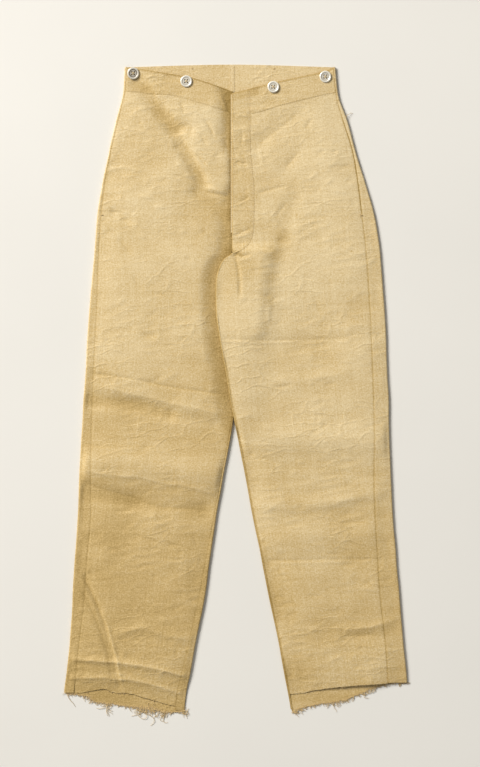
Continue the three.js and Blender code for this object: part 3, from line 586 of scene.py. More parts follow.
def inseam_shows(leg, y):
    """1 where the inseam's line can be seen: below the crotch, and on the left leg only where
    it has come off the right one."""
    return (y < CROTCH_Y) * (smooth((SEAM.bare_from - y) / SEAM.bare_run) if leg.side > 0 else 1.0)


def seam_dip(leg, x, y):
    """Depth of the grooves along the inseam and the side seam, which is deeper at the pocket."""
    pocket = pocket_mouth(y)
    depth = SEAM.depth + SEAM.pocket_depth * pocket
    side = depth * leg.near("seam", x, y, SEAM.width + SEAM.pocket_width * pocket)
    return side + SEAM.inner * leg.near("inseam", x, y, SEAM.width) * inseam_shows(leg, y)


def pressed(y):
    """Share of its height that a leg keeps: all of it down to the last hand's breadth above
    the raw hem, where its layers lie closer together."""
    return 1 - PRESS.share * smooth((PRESS.start - y) / PRESS.run)


def top_of(leg, x, y):
    """Height of the front layer's face: the edge height, plus crown, folds and creases away
    from the folds, less the seam grooves, plus the lift of one leg over the other. That lift
    is let down from a line a little way in, so that it bridges the step of the layer beneath."""
    look = bpy.context.scene.trousers
    d = np.maximum(0, in_from_fold(leg, x, y) - EDGE_HEIGHT / 2)
    form = look.fold_depth * relief(x, y, leg.folds, sharp=False) + look.crease_depth * leg.fine(x, y)
    form = form * (1 - bell(d / RELIEF_REACH)) + look.crown * (1 - bell(d / CROWN_REACH))
    form = LEAST_FORM + np.logaddexp(0, (form - LEAST_FORM) * 2) / 2
    cover = beneath(leg, x, y)
    top = EDGE_HEIGHT + form * (1 - cover) - COVER.drop * cover - seam_dip(leg, x, y)
    start, run = (np.interp(y, BRIDGE["y"], BRIDGE[key]) for key in ("start", "run"))
    lift = lifted(leg, leg.at("inner", y) + 2, y) * (1 - smooth((x - start) / run))
    return top * pressed(y) + lift


# --- meshes ---
def grid_faces(rows, columns, closed=False):
    """Corner numbers of the quads of a grid; closed joins its last column to its first."""
    i, j = np.meshgrid(np.arange(rows - 1), np.arange(columns - (not closed)), indexing="ij")
    k = (j + 1) % columns
    below = (i + 1) * columns
    return np.stack([i * columns + j, below + j, below + k, i * columns + k], -1).reshape(-1, 4)


def put_mesh(name, points, quads, material, caps=(), uv=None, tone=None, crisp=None):
    """A mesh object at the origin from points in millimetres, quads and end caps. crisp is
    the rows and columns of a grid whose outer edges are cut edges, not rounded ones."""
    mesh = bpy.data.meshes.new(name)
    corners = np.concatenate([np.ravel(quads), *[np.asarray(cap) for cap in caps]]).astype(np.int32)
    totals = np.array([4] * len(quads) + [len(cap) for cap in caps], dtype=np.int32)
    mesh.vertices.add(len(points))
    mesh.vertices.foreach_set("co", (points * MM).astype(np.float32).ravel())
    mesh.loops.add(len(corners))
    mesh.loops.foreach_set("vertex_index", corners)
    mesh.polygons.add(len(totals))
    mesh.polygons.foreach_set("loop_start", (np.cumsum(totals) - totals).astype(np.int32))
    mesh.polygons.foreach_set("loop_total", totals)
    mesh.polygons.foreach_set("use_smooth", totals > 0)
    mesh.update(calc_edges=True)
    if uv is not None:
        layer = mesh.uv_layers.new(name="grain")
        layer.data.foreach_set("uv", (uv[corners] * MM).astype(np.float32).ravel())
    if tone is not None:
        mesh.attributes.new("tone", "FLOAT", "POINT").data.foreach_set("value", tone.astype(np.float32))
    if mesh.validate():
        raise ValueError(f"{name} has faces that don't join up")
    mesh.materials.append(material)
    if crisp is not None:
        ends = np.empty(2 * len(mesh.edges), dtype=np.int32)
        mesh.edges.foreach_get("vertices", ends)
        rim = False
        for side, count in zip(np.divmod(ends.reshape(-1, 2), crisp[1]), crisp):
            rim = rim | (side[:, 0] == side[:, 1]) & ((side[:, 0] == 0) | (side[:, 0] == count - 1))
        mesh.edges.foreach_set("use_edge_sharp", rim)
    piece = bpy.data.objects.new(name, mesh)
    bpy.context.scene.collection.objects.link(piece)
    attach(piece, "root")
    return piece


def grain_of(leg, x, y):
    """Place on the cloth: across from the leg's middle line, and along it."""
    middle = (leg.at("edge", y) + leg.at("inner", np.minimum(y, CROTCH_Y))) / 2
    return np.stack([x - middle, y], -1)


def tone_of(leg, x, y):
    """Paleness of the cloth from 0 to 1, with painted light and shade in it: a painted fall of light,
    paler at the hip and deeper towards the hem and on the right leg; a painted highlight on the
    crests of folds and painted shade in their hollows and creases; deeper along seams; painted
    shade along the left leg's inner edge, beside the fly and where the left leg lies over the
    right; and dark spots, some stains and some painted shade."""
    side = leg.side
    # Painted light: this fall of tone from hip to hem, and from one leg to the other, stands in for the fall
    # of the lamp's light.
    hip, hem = TONE.hip + TONE.hip_side * side, TONE.hem + TONE.hem_side * side
    tone = blend(hip, hem, smooth((TONE.start - y) / TONE.run))
    # Painted shade along the left leg's inner fold edge, which damps the highlight that its rounded edge
    # catches.
    tone = tone - TONE.edge * leg.near("inner", x, y, TONE.edge_width) * (side > 0) * (y < CROTCH_Y)
    seam = TONE.seam * (1 + TONE.seam_side * side)
    mouth = TONE.pocket * pocket_mouth(y) * (1.5 + side) / 2
    tone = tone - (seam + mouth) * leg.near("seam", x, y, TONE.seam_width)
    tone = tone - seam * leg.near("inseam", x, y, TONE.seam_width) * inseam_shows(leg, y)
    # Stains, and spots of painted shade, from the table.
    for sx, sy, radius, depth in zip(*STAINS_AND_SHADE.values()):
        tone = tone - depth * bell(np.hypot(x - sx, y - sy) / radius)
    # Painted shade in the hollows of the broad folds, and a painted highlight on their crests.
    broad = relief(x, y, leg.folds, sharp=False)
    hollow = np.minimum(0, broad + TONE.hollow_from)
    hollow = hollow + TONE.crest * np.maximum(0, broad - TONE.crest_from)
    below_band = across(leg.band_top, x) - y
    on_front = smooth((below_band + 1.5) / 2)
    # Painted light and shade on the front pieces: creases and rumples paler on their ridges and deeper in
    # their troughs, plus the broad folds' painted shading.
    tone = tone + (TONE.crease * leg.fine(x, y) + TONE.hollow * hollow) * on_front
    if side < 0:
        # Painted shade in the valley left of the fly.
        tone = tone - TONE.valley * beside_fly(x, y) * (below_band > -0.5)
    # Painted shade on the right leg where the left leg lies over it.
    return tone - TONE.cover * beneath(leg, x, y)


def beside_fly(x, y):
    """Depth of shade from 0 to 1 in the valley left of the fly: widest under the bands, gone
    to a line at its middle, and wider again towards the crotch."""
    place = (CENTRE_X - x) / read(VALLEY, "reach", y)
    return read(VALLEY, "shade", y) * bell(place) * smooth((y - CROTCH_Y + 4) / 12)


def pressed_end(x, y):
    """Darker tone over the end of the left band, which is turned under at a slant."""
    end = TURNED_END
    above = y - np.interp(x, end.foot_x, end.foot_y)
    return TONE.turned * smooth((end.fold_x - x) / end.side) * smooth(above / end.foot)


def area_of(points):
    """Area of a grid in square metres: half the sum of its quads' crossed diagonals."""
    a, b = points[1:, 1:] - points[:-1, :-1], points[1:, :-1] - points[:-1, 1:]
    return float(np.linalg.norm(np.cross(a, b), axis=-1).sum() / 2 * MM * MM)


def cloth(name, nodes, points, leg, thickness=None, sheet=True, shift=0.0):
    """A piece of linen from a grid of points on its outer face, with its thickness inwards. With
    sheet set, the grid's area is worked out and not kept."""
    rows, columns = points.shape[:2]
    x, y = points[..., 0], points[..., 1]
    quads = grid_faces(rows, columns)
    down, over = points[1, 0] - points[0, 0], points[0, 1] - points[0, 0]
    if down[0] * over[1] - down[1] * over[0] <= 0:
        quads = quads[:, ::-1]  # so that its faces point up
    piece = put_mesh(
        name, points.reshape(-1, 3), quads, linen(), uv=grain_of(leg, x, y).reshape(-1, 2),
        tone=(tone_of(leg, x, y) + shift).ravel(), crisp=(rows, columns),
    )
    wall = piece.modifiers.new("thickness", "SOLIDIFY")
    wall.thickness = thickness or bpy.context.scene.trousers.cloth_thickness
    wall.offset = -1
    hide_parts(*nodes)
    if sheet:
        area_of(points)
    return piece


def layer(leg, left, right, top, foot, rows, columns, proud=0.0):
    """A piece on a leg's front: x runs between left(y) and right(y), and y between top(x) and
    foot(x), found together in a few passes; z is the front's height plus proud."""
    u, v = unit_grid(rows, columns)
    y = blend(float(top(np.zeros(1))[0]), float(foot(np.zeros(1))[0]), v)
    for _ in range(PASSES):
        x = blend(left(y), right(y), u)
        y = blend(top(x), foot(x), v)
    return np.stack([x, y, top_of(leg, x, y) + proud], -1)


def rounded(distance, radius):
    """How far a turned edge falls away: radius minus the height of its quarter circle."""
    t = np.clip(1 - distance / radius, 0, 1)
    return radius * (1 - np.sqrt(1 - t * t))


def ravel(x, seed):
    """How far a raw edge wanders from its line: two sizes of smooth noise along it."""
    flat = np.zeros(np.shape(x))
    coarse, fine = lattice(x, flat, RAVEL.pitch, seed), lattice(x, flat, RAVEL.fine_pitch, seed + 1)
    return RAVEL.depth * (coarse + RAVEL.fine * fine)


# --- the pieces of cloth ---
BACK_GRID = Sizes(rows=360, fold=9, side_lip=16, floor=90, inner_lip=9)
SWAY = Sizes(outer=0.45, outer_pitch=34.0, inner=0.4, inner_pitch=30.0)
OPEN_WAVE = Sizes(rise=0.7, pitch=26.0, start=488, run=24, half=120)
BARE = Sizes(run=6, press=0.4)  # where the back lies bare below the front's raw hem


def back_height(leg, x, v):
    """y on a back panel, from its top edge at v = 0 to its raw hem at v = 1."""
    return blend(across(BACK_TOP, x), across(leg.back_hem, x) + ravel(x, leg.seed + 5), v)


def back_points(leg):
    """A back panel wrapped round both folds of its leg, as one grid of its outer face. Across
    it run: a lip from the side seam out to the fold, half a circle of radius r about the fold,
    the floor, an arc of curl radians at the inner fold, and a lip to the inseam. The curl
    grows from OPEN_CURL at the crotch to pi below it."""
    r, side, rows = EDGE_HEIGHT / 2, leg.side, BACK_GRID.rows
    v = steps(rows)
    y_outer = back_height(leg, np.full(rows, leg.rows["edge"][0]), v)
    y_inner = back_height(leg, np.full(rows, CENTRE_X), v)
    for _ in range(PASSES):
        y_outer = back_height(leg, leg.at("edge", y_outer), v)
        y_inner = back_height(leg, leg.at("inner", y_inner), v)
    closed = smooth((CROTCH_Y + CURL_LENGTH - y_inner) / CURL_LENGTH)
    curl = blend(OPEN_CURL, math.pi, closed)
    inner = leg.at("inner", y_inner)
    lip = blend(OPEN_LIP, np.abs(leg.at("inseam", y_inner) - inner) - r, closed)
    stretch = BEND * np.sin(np.minimum(curl, math.pi / 2)) + lip * np.maximum(0, np.cos(curl)) + CLOTH / 2
    sway = SWAY.outer * lattice(np.zeros(rows), y_outer, SWAY.outer_pitch, leg.seed + 7)
    sway_in = SWAY.inner * closed * lattice(np.zeros(rows), y_inner, SWAY.inner_pitch, leg.seed + 8)
    turn = (leg.at("edge", y_outer) - side * (r - sway))[:, None]
    start = (inner + side * (stretch + sway_in))[:, None]
    bare = BARE.press * smooth((across(leg.front_hem, inner) - y_inner) / BARE.run)[:, None]
    y_outer, y_inner, closed, curl, lip = (a[:, None] for a in (y_outer, y_inner, closed, curl, lip))
    bend = steps(BACK_GRID.fold)[None, 1:]

    x = blend(leg.at("seam", y_outer), turn, steps(BACK_GRID.side_lip)[None])
    y = np.broadcast_to(y_outer, x.shape)
    parts = [(x, y, top_of(leg, x, y))]
    x = turn + side * r * np.sin(math.pi * bend)
    y = np.broadcast_to(y_outer, x.shape)
    parts.append((x, y, (r + r * np.cos(math.pi * bend)) * pressed(y)))
    x = blend(turn, start, steps(BACK_GRID.floor)[None, 1:])
    y = back_height(leg, x, v[:, None])
    wave = OPEN_WAVE.rise * smooth((y - OPEN_WAVE.start) / OPEN_WAVE.run)
    wave = wave * np.exp(-((np.abs(x - CENTRE_X) / OPEN_WAVE.half) ** 4))
    wave = wave * (0.5 + 0.5 * lattice(x, y, OPEN_WAVE.pitch, leg.seed + 9))
    parts.append((x, y, lifted(leg, x, y) + wave * np.abs(x - start) / 200))
    x = start - side * r * np.sin(curl * bend)
    y = np.broadcast_to(y_inner, x.shape)
    z = (r - r * np.cos(curl * bend)) * pressed(y) * (1 - bare) + lifted(leg, x, y)
    parts.append((x, y, z))
    u = steps(BACK_GRID.inner_lip)[None, 1:]
    end_z = z[:, -1:] - lifted(leg, x, y)[:, -1:]
    x = x[:, -1:] - side * u * lip * np.cos(curl)
    y = np.broadcast_to(y_inner, x.shape)
    loose = end_z + u * lip * np.sin(curl) + lifted(leg, x, y)
    parts.append((x, y, blend(loose, top_of(leg, x, y) * (1 - bare), closed)))
    return np.stack([np.concatenate(part, axis=1) for part in zip(*parts)], -1)


def back_panels():
    """Both back panels, each round its leg from the side seam to the inseam."""
    for leg, lies_on, fell in ((RIGHT, "floor", ()), (LEFT, "panel_back_right", ("centre_fell",))):
        cloth(
            f"panel_back_{leg.name}", [f"back_{leg.name}"], back_points(leg), leg,
            shift=TONE.back,
        )


def under_fly(x, y):
    """How far the right side's edge drops to pass beneath the placket."""
    over = smooth((x - CENTRE_X + UNDER_FLY.start) / UNDER_FLY.over)
    return UNDER_FLY.drop * over * smooth((y - UNDER_FLY.foot) / UNDER_FLY.fade)


FRONT_GRID = (510, 88)
HEM_LIFT = Sizes(
    wave=0.45, pitch=24.0, seed=77, down=0.95, bow=1.5, bow_x=205, bow_half=34, at_y=-470, ends=14, reach=20,
)


def leg_hem_lift(leg, x, above):
    """How far a front's raw edge stands off or sinks at the hem, falling away up the leg: smooth
    noise, and a bow outwards on the left leg."""
    wave = HEM_LIFT.wave * lattice(x, above * 0, HEM_LIFT.pitch, HEM_LIFT.seed) - HEM_LIFT.down
    bow = HEM_LIFT.bow * bell((x - HEM_LIFT.bow_x) / HEM_LIFT.bow_half) * (leg.side > 0)
    inside = 1 - bell(in_from_fold(leg, x, above + HEM_LIFT.at_y) / HEM_LIFT.ends)
    return (wave + bow) * bell(above / HEM_LIFT.reach) * inside


def front_panels():
    """Both front panels, from under the waistband to their raw hems."""
    for leg in (RIGHT, LEFT):
        def outer(y):
            return leg.at("seam", y) - leg.side * PIECE_GAP

        def inner(y):
            if leg.side > 0:
                return np.where(y > CROTCH_Y, fly_line(y), leg.at("inseam", y)) + PIECE_GAP
            tuck = smooth((y - CROTCH_Y + UNDER_FLY.tuck) / UNDER_FLY.tuck)
            return leg.at("inseam", y) - PIECE_GAP + UNDER_FLY.run * tuck

        def top(x):
            return across(leg.band_foot, x) - PIECE_GAP

        def foot(x):
            return across(leg.front_hem, x) + ravel(x, leg.seed + 3)

        left, right = (outer, inner) if leg.side < 0 else (inner, outer)
        points = layer(leg, left, right, top, foot, *FRONT_GRID)
        x, y = points[..., 0], points[..., 1]
        points[..., 2] += leg_hem_lift(leg, x, y - across(leg.front_hem, x))
        if leg.side < 0:
            points[..., 2] -= under_fly(x, y)
        cloth(
            f"panel_front_{leg.name}", [f"front_{leg.name}"], points, leg,
        )


# edge and its width give painted shade along the band's top edge, for the shadow line there and to damp its
# highlight.
BAND = Sizes(
    grid=(44, 130), thickness=1.2, least=2.4, turn=0.9, foot=0.35, foot_width=1.2, under=1.3, line=0.18,
    line_width=0.9, edge=0.7, edge_width=1.6,
)


def waistbands():
    """Both halves of the waistband, with their top edges turned in."""
    for leg in (RIGHT, LEFT):
        def seam(y):
            return leg.at("seam", y) - leg.side * PIECE_GAP

        def centre(y):
            return np.full(y.shape, CENTRE_X + 1.0 if leg.side < 0 else FLY_LINE["x"][0] + PIECE_GAP)

        top, foot = partial(across, leg.band_top), partial(across, leg.band_foot)
        left, right = (seam, centre) if leg.side < 0 else (centre, seam)
        points = layer(leg, left, right, top, foot, *BAND.grid, proud=PROUD)
        x, y = points[..., 0], points[..., 1]
        below_top = top(x) - y
        z = points[..., 2] - rounded(below_top, BAND.turn)
        z = z - BAND.foot * bell((y - foot(x)) / BAND.foot_width)
        z = z - BAND.line * bell((below_top - STITCH.inset) / BAND.line_width)
        if leg.side < 0:
            z = z - BAND.under * under_fly(x, y)
        points[..., 2] = np.maximum(z, BAND.least)
        shift = pressed_end(x, y) * (leg.side > 0) + TONE.band
        # The tone shift holds painted shade along the band's top edge.
        cloth(
            f"waistband_half_{leg.name}", [f"waistband_{leg.name}"], points, leg,
            thickness=BAND.thickness * MM,
            shift=shift - BAND.edge * bell(below_top / BAND.edge_width),
        )


PLACKET = Sizes(
    grid=(200, 40), side_turn=0.6, top_turn=0.9, run=9, line=0.03, line_width=0.9, stitch=0.08,
    stitch_in=2.2, side_edge=0.8, top_edge=0.6, top_width=1.5,
)
UNDERLAP = Sizes(grid=(110, 24), start=1.9, below=2, height=3.5, wave=0.08, pitch=11.0)


def fly():
    """The placket on top of the fly and the underlap beneath it."""
    def centre(y):
        return np.full(y.shape, CENTRE_X)

    def foot(x):
        return np.interp(x, (FLY_LINE["x"][-1], FLY_LINE["x"][-2]), (CROTCH_Y, FLY_FOOT_Y))

    top = partial(across, BAND_TOP_LEFT)
    points = layer(LEFT, centre, fly_line, top, foot, *PLACKET.grid, proud=PROUD)
    x, y = points[..., 0], points[..., 1]
    from_side, from_top = x - CENTRE_X, top(x) - y
    from_line = np.minimum(fly_line(y) - x, y - FLY_FOOT_Y + 2)
    dip = rounded(from_side, PLACKET.side_turn) + rounded(from_top, PLACKET.top_turn)
    dip = dip + PROUD * smooth(1 - from_line / PLACKET.run)
    dip = dip + PLACKET.line * bell(from_line / PLACKET.line_width)
    points[..., 2] -= dip + PLACKET.stitch * bell(from_line - PLACKET.stitch_in)
    # Painted shade along the placket's left and top edges, which damps the highlight their rounded edges
    # catch.
    edge = TONE.placket + pressed_end(x, y) - PLACKET.side_edge * bell(from_side / PLACKET.line_width)
    edge = edge - PLACKET.top_edge * bell(from_top / PLACKET.top_width)
    cloth("placket", ["fly_placket"], points, LEFT, shift=edge)
    u, v = unit_grid(*UNDERLAP.grid)
    x = blend(CENTRE_X - UNDERLAP.start, LAP_RIGHT_X, u)
    y = blend(top(x) - UNDERLAP.below, LAP_FOOT_Y, v)
    z = UNDERLAP.height + UNDERLAP.wave * lattice(x, y, UNDERLAP.pitch, 91)
    cloth("underlap", ["fly_underlap"], np.stack([x, y, z], -1), LEFT)


FELL = Sizes(
    grid=(240, 16), height=1.1, pinch=0.18, line_in=1.2, line_width=0.7, wave=0.08, pitch=9.0,
)


def centre_fell():
    """The centre-back seam's fell, raised over its two rows of stitching."""
    u, v = unit_grid(*FELL.grid)
    x = CENTRE_X + blend(-FELL_HALF, FELL_HALF, u)
    y = blend(across(BACK_TOP, x) - 0.5, FLY_TURN_Y, v)
    line = bell((np.abs(x - CENTRE_X) - FELL_HALF + FELL.line_in) / FELL.line_width)
    z = FELL.height - FELL.pinch * line + FELL.wave * lattice(x, y, FELL.pitch, 93)
    cloth("centre_fell", ["centre_back_fell"], np.stack([x, y, z], -1), LEFT, sheet=False)


# --- buttons ---
def round_steps(count):
    """Even steps round a circle, in radians."""
    return np.linspace(0, 2 * math.pi, count, endpoint=False)


def turned(points, x, y, z, tilt):
    """Points tipped by tilt degrees towards the lower right about their middle, then set down."""
    angle = math.radians(tilt)
    axis = np.array([math.sqrt(0.5), math.sqrt(0.5), 0.0])
    along = (points @ axis)[..., None] * axis
    tipped = points * math.cos(angle) + np.cross(axis, points) * math.sin(angle)
    return tipped + along * (1 - math.cos(angle)) + np.array([x, y, z])


def button_points():
    """A lathed button as a polar grid, and its tone: the section's points joined by equal
    steps along it, with a pit of the holes' depth where a place is within a hole's radius."""
    r, z = BUTTON_SECTION["r"], BUTTON_SECTION["z"]
    gone = np.concatenate([[0], np.cumsum(np.hypot(np.diff(r), np.diff(z)))])
    at = gone[-1] * steps(BUTTON.steps)[:, None]
    radius, height = np.interp(at, gone, r), np.interp(at, gone, z)
    angle = round_steps(BUTTON.segments)[None]
    x, y = radius * np.cos(angle), radius * np.sin(angle)
    pit = np.zeros(x.shape)
    for quarter in QUARTERS:
        turn = quarter * math.pi / 2
        hole_x, hole_y = BUTTON_HOLE.circle * math.cos(turn), BUTTON_HOLE.circle * math.sin(turn)
        reach = BUTTON_HOLE.radius - np.hypot(x - hole_x, y - hole_y)
        pit = np.maximum(pit, smooth(reach / BUTTON_HOLE.wall))
    face = at <= gone[-1] / 2
    groove = bell((radius - BUTTON.rim) / BUTTON.groove)
    rim = smooth((radius - BUTTON.rim) / BUTTON.rim_run)
    # The pits of the holes get painted shade in the tone; the groove inside the rim is darker too.
    tone = (rim + BUTTON.face - BUTTON.pit_tone * pit - BUTTON.groove_tone * groove) * face
    return np.stack([x, y, height - pit * BUTTON_HOLE.depth * face], -1), tone


def buttons():
    """The four sewn buttons, each with the crossed threads that hold it."""
    shape, tone = button_points()
    u = steps(BUTTON_THREAD.points)
    bars = []
    for quarter in QUARTERS[:2]:
        angle = quarter * math.pi / 2
        along = np.array([math.cos(angle), math.sin(angle)])
        aside = np.array([-math.sin(angle), math.cos(angle)])
        arch = BUTTON_THREAD.arch + BUTTON_THREAD.more * quarter  # the second pair crosses over
        height = BUTTON_THREAD.foot + arch * np.sin(math.pi * u) ** BUTTON_THREAD.flatness
        for shift in (-BUTTON_THREAD.apart, 0.0, BUTTON_THREAD.apart):
            flat = (BUTTON_HOLE.circle * np.cos(math.pi * u))[:, None] * along + shift * aside
            bars.append(np.column_stack([flat, height]))
    for name, (x, y, tilt, dull) in BUTTONS.items():
        leg = RIGHT if x < CENTRE_X else LEFT
        rest = float(top_of(leg, np.array([x]), np.array([y]))[0]) + PROUD + BUTTON.stand
        rest += BUTTON.tilt_stand * abs(math.sin(math.radians(tilt)))
        piece = put_mesh(
            f"{name}_shell", turned(shape, x, y, rest, tilt).reshape(-1, 3),
            grid_faces(BUTTON.steps, BUTTON.segments, closed=True), metal(), tone=(tone - dull).ravel(),
        )
        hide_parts(name)
        crossed = turned(np.array(bars), x, y, rest, tilt)
        radius = np.full(len(u), STITCH.radius)
        tubes(f"{name}_thread", crossed, radius, BUTTON_THREAD.sides, sewing_thread())


# --- threads ---
def tubes(name, paths, radius, sides, material, replaces=(), tone=None):
    """Round tubes along many paths at once. A ring stands across the path's direction t on the
    axes t x up and their cross product, and its radius changes along the path."""
    count, places = paths.shape[:2]
    direction = np.gradient(paths, axis=1)
    direction /= np.linalg.norm(direction, axis=-1, keepdims=True)
    aside = np.cross(direction, np.array([0.0, 0.0, 1.0]) + 0.001)
    aside /= np.linalg.norm(aside, axis=-1, keepdims=True)
    up = np.cross(aside, direction)
    angle = round_steps(sides)[:, None]
    ring = np.cos(angle) * aside[:, :, None] + np.sin(angle) * up[:, :, None]
    points = paths[:, :, None] + np.broadcast_to(radius, (count, places))[..., None, None] * ring
    first = (np.arange(count) * places * sides)[:, None]
    caps = [*(first + np.arange(sides)), *(first + (places - 1) * sides + np.arange(sides)[::-1])]
    quads = (first[:, :, None] + grid_faces(places, sides, closed=True)).reshape(-1, 4)
    shade = None if tone is None else np.repeat(tone, places * sides)
    piece = put_mesh(name, points.reshape(-1, 3), quads, material, caps=caps, tone=shade)
    if replaces:
        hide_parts(*replaces)


def stitches_along(x, y, leg):
    """A row of stitches on a leg's front along a line of places: each one a short path that
    dips into the cloth at its two ends."""
    gone = np.concatenate([[0], np.cumsum(np.hypot(np.diff(x), np.diff(y)))])
    pitch = STITCH.length + STITCH.gap
    u = steps(STITCH.points)
    at = np.arange(0.5, gone[-1] - pitch, pitch)[:, None] + STITCH.length * u
    px, py = np.interp(at, gone, x), np.interp(at, gone, y)
    arch = STITCH.stand - STITCH.dip * (2 * u - 1) ** 4
    return np.stack([px, py, top_of(leg, px, py) + PROUD + arch], -1)


def bar_tack(leg, x0, x1, y):
    """A bar tack: close parallel stitches across a short level line."""
    t, u = steps(TACK.count)[:, None], np.linspace(-1, 1, STITCH.points)[None]
    px, py = blend(x0, x1, t) + 0 * u, y - TACK.half * u + 0 * t
    return np.stack([px, py, top_of(leg, px, py) + PROUD + TACK.stand - TACK.dip * u**4], -1)


def stitching():
    """Rows of stitches along the bands, the placket and the fell, and the bar tacks."""
    rows = []
    for leg, ends in ((RIGHT, ROWS.right), (LEFT, ROWS.left)):
        x = np.linspace(*ends, ROWS.samples)
        rows.append(stitches_along(x, across(leg.band_top, x) - STITCH.inset, leg))
        rows.append(stitches_along(x, across(leg.band_foot, x) + STITCH.foot_inset, leg))
    start = float(across(BAND_TOP_LEFT, np.zeros(1))[0]) - ROWS.side_top
    y = np.linspace(start, ROWS.side_foot, ROWS.side_samples)
    rows.append(stitches_along(np.full(ROWS.side_samples, CENTRE_X + STITCH.side_inset), y, LEFT))
    y = np.linspace(ROWS.fly_top, FLY_FOOT_Y + ROWS.fly_past, ROWS.fly_samples)
    rows.append(stitches_along(fly_line(y) - STITCH.fly_inset, y, LEFT))
    rows.append(bar_tack(LEFT, *TACK.left))
    rows.append(bar_tack(RIGHT, *TACK.right))
    u = np.linspace(-1, 1, STITCH.points)
    radius = STITCH.radius * (1 - STITCH.thinner * u**4)  # thickest in the middle
    tubes("seam_stitching", np.concatenate(rows), radius, STITCH.sides, sewing_thread())
    marks = []
    for mx, my in BACK_BUTTON_MARKS:
        for turn in round_steps(2 * CROSS.count)[: CROSS.count]:
            x, y = mx + CROSS.half * u * math.cos(turn), my + CROSS.half * u * math.sin(turn)
            marks.append(np.stack([x, y, CROSS.height - CROSS.dip * u**4], -1))
    for side in (-1, 1):
        x = CENTRE_X + side * (FELL_HALF - FELL.line_in) + 0 * u
        for y in np.linspace(FELL_STITCH.top, FELL_STITCH.foot, FELL_STITCH.count):
            height = FELL_STITCH.height - FELL_STITCH.dip * u**4
            marks.append(np.stack([x, y + FELL_STITCH.half * u, height], -1))
    tubes("inner_stitching", np.array(marks), radius, STITCH.sides, sewing_thread())


# --- raw hems ---
def strands(x, y, z, reach, lean, curl, rng, places):
    """Loose threads lying on the table. A thread's heading starts down the leg plus its lean,
    and wanders by curl times two sines along it; its places are the sum of its headings."""
    n = len(x)
    s = steps(places)[None]
    phase, beat = rng.uniform(0, 2 * math.pi, (2, n, 1)), rng.uniform(*WANDER.beat, (2, n, 1))
    slow = np.sin(beat[0] * s + phase[0]) - np.sin(phase[0])
    quick = np.sin(WANDER.quicker * beat[1] * s + phase[1]) - np.sin(phase[1])
    heading = lean[:, None] + curl[:, None] * (slow + WANDER.share * quick)
    step = reach[:, None] / (places - 1)
    px = x[:, None] + np.cumsum(np.sin(heading) * step, axis=1)
    py = y[:, None] - np.cumsum(np.cos(heading) * step, axis=1)
    hump = rng.uniform(*WANDER.hump, (n, 1)) * np.sin(math.pi * s)
    hump = hump * np.minimum(1, reach[:, None] / WANDER.full_hump)
    pz = blend(z[:, None], WANDER.rest, smooth(s * WANDER.descent)) + hump
    return np.stack([px, py, np.maximum(pz, FRAY.radius)], -1)


def taper(places):
    """A loose thread's radius along it."""
    return blend(FRAY.radius, FRAY.least, steps(places) ** 2)


def hem_span(leg, outer, inner):
    """The ends of a raw hem, between a leg's outer and inner lines at its foot."""
    return sorted((leg.rows[outer][-1] - leg.side * 1.5, leg.rows[inner][-1] + leg.side * 2))


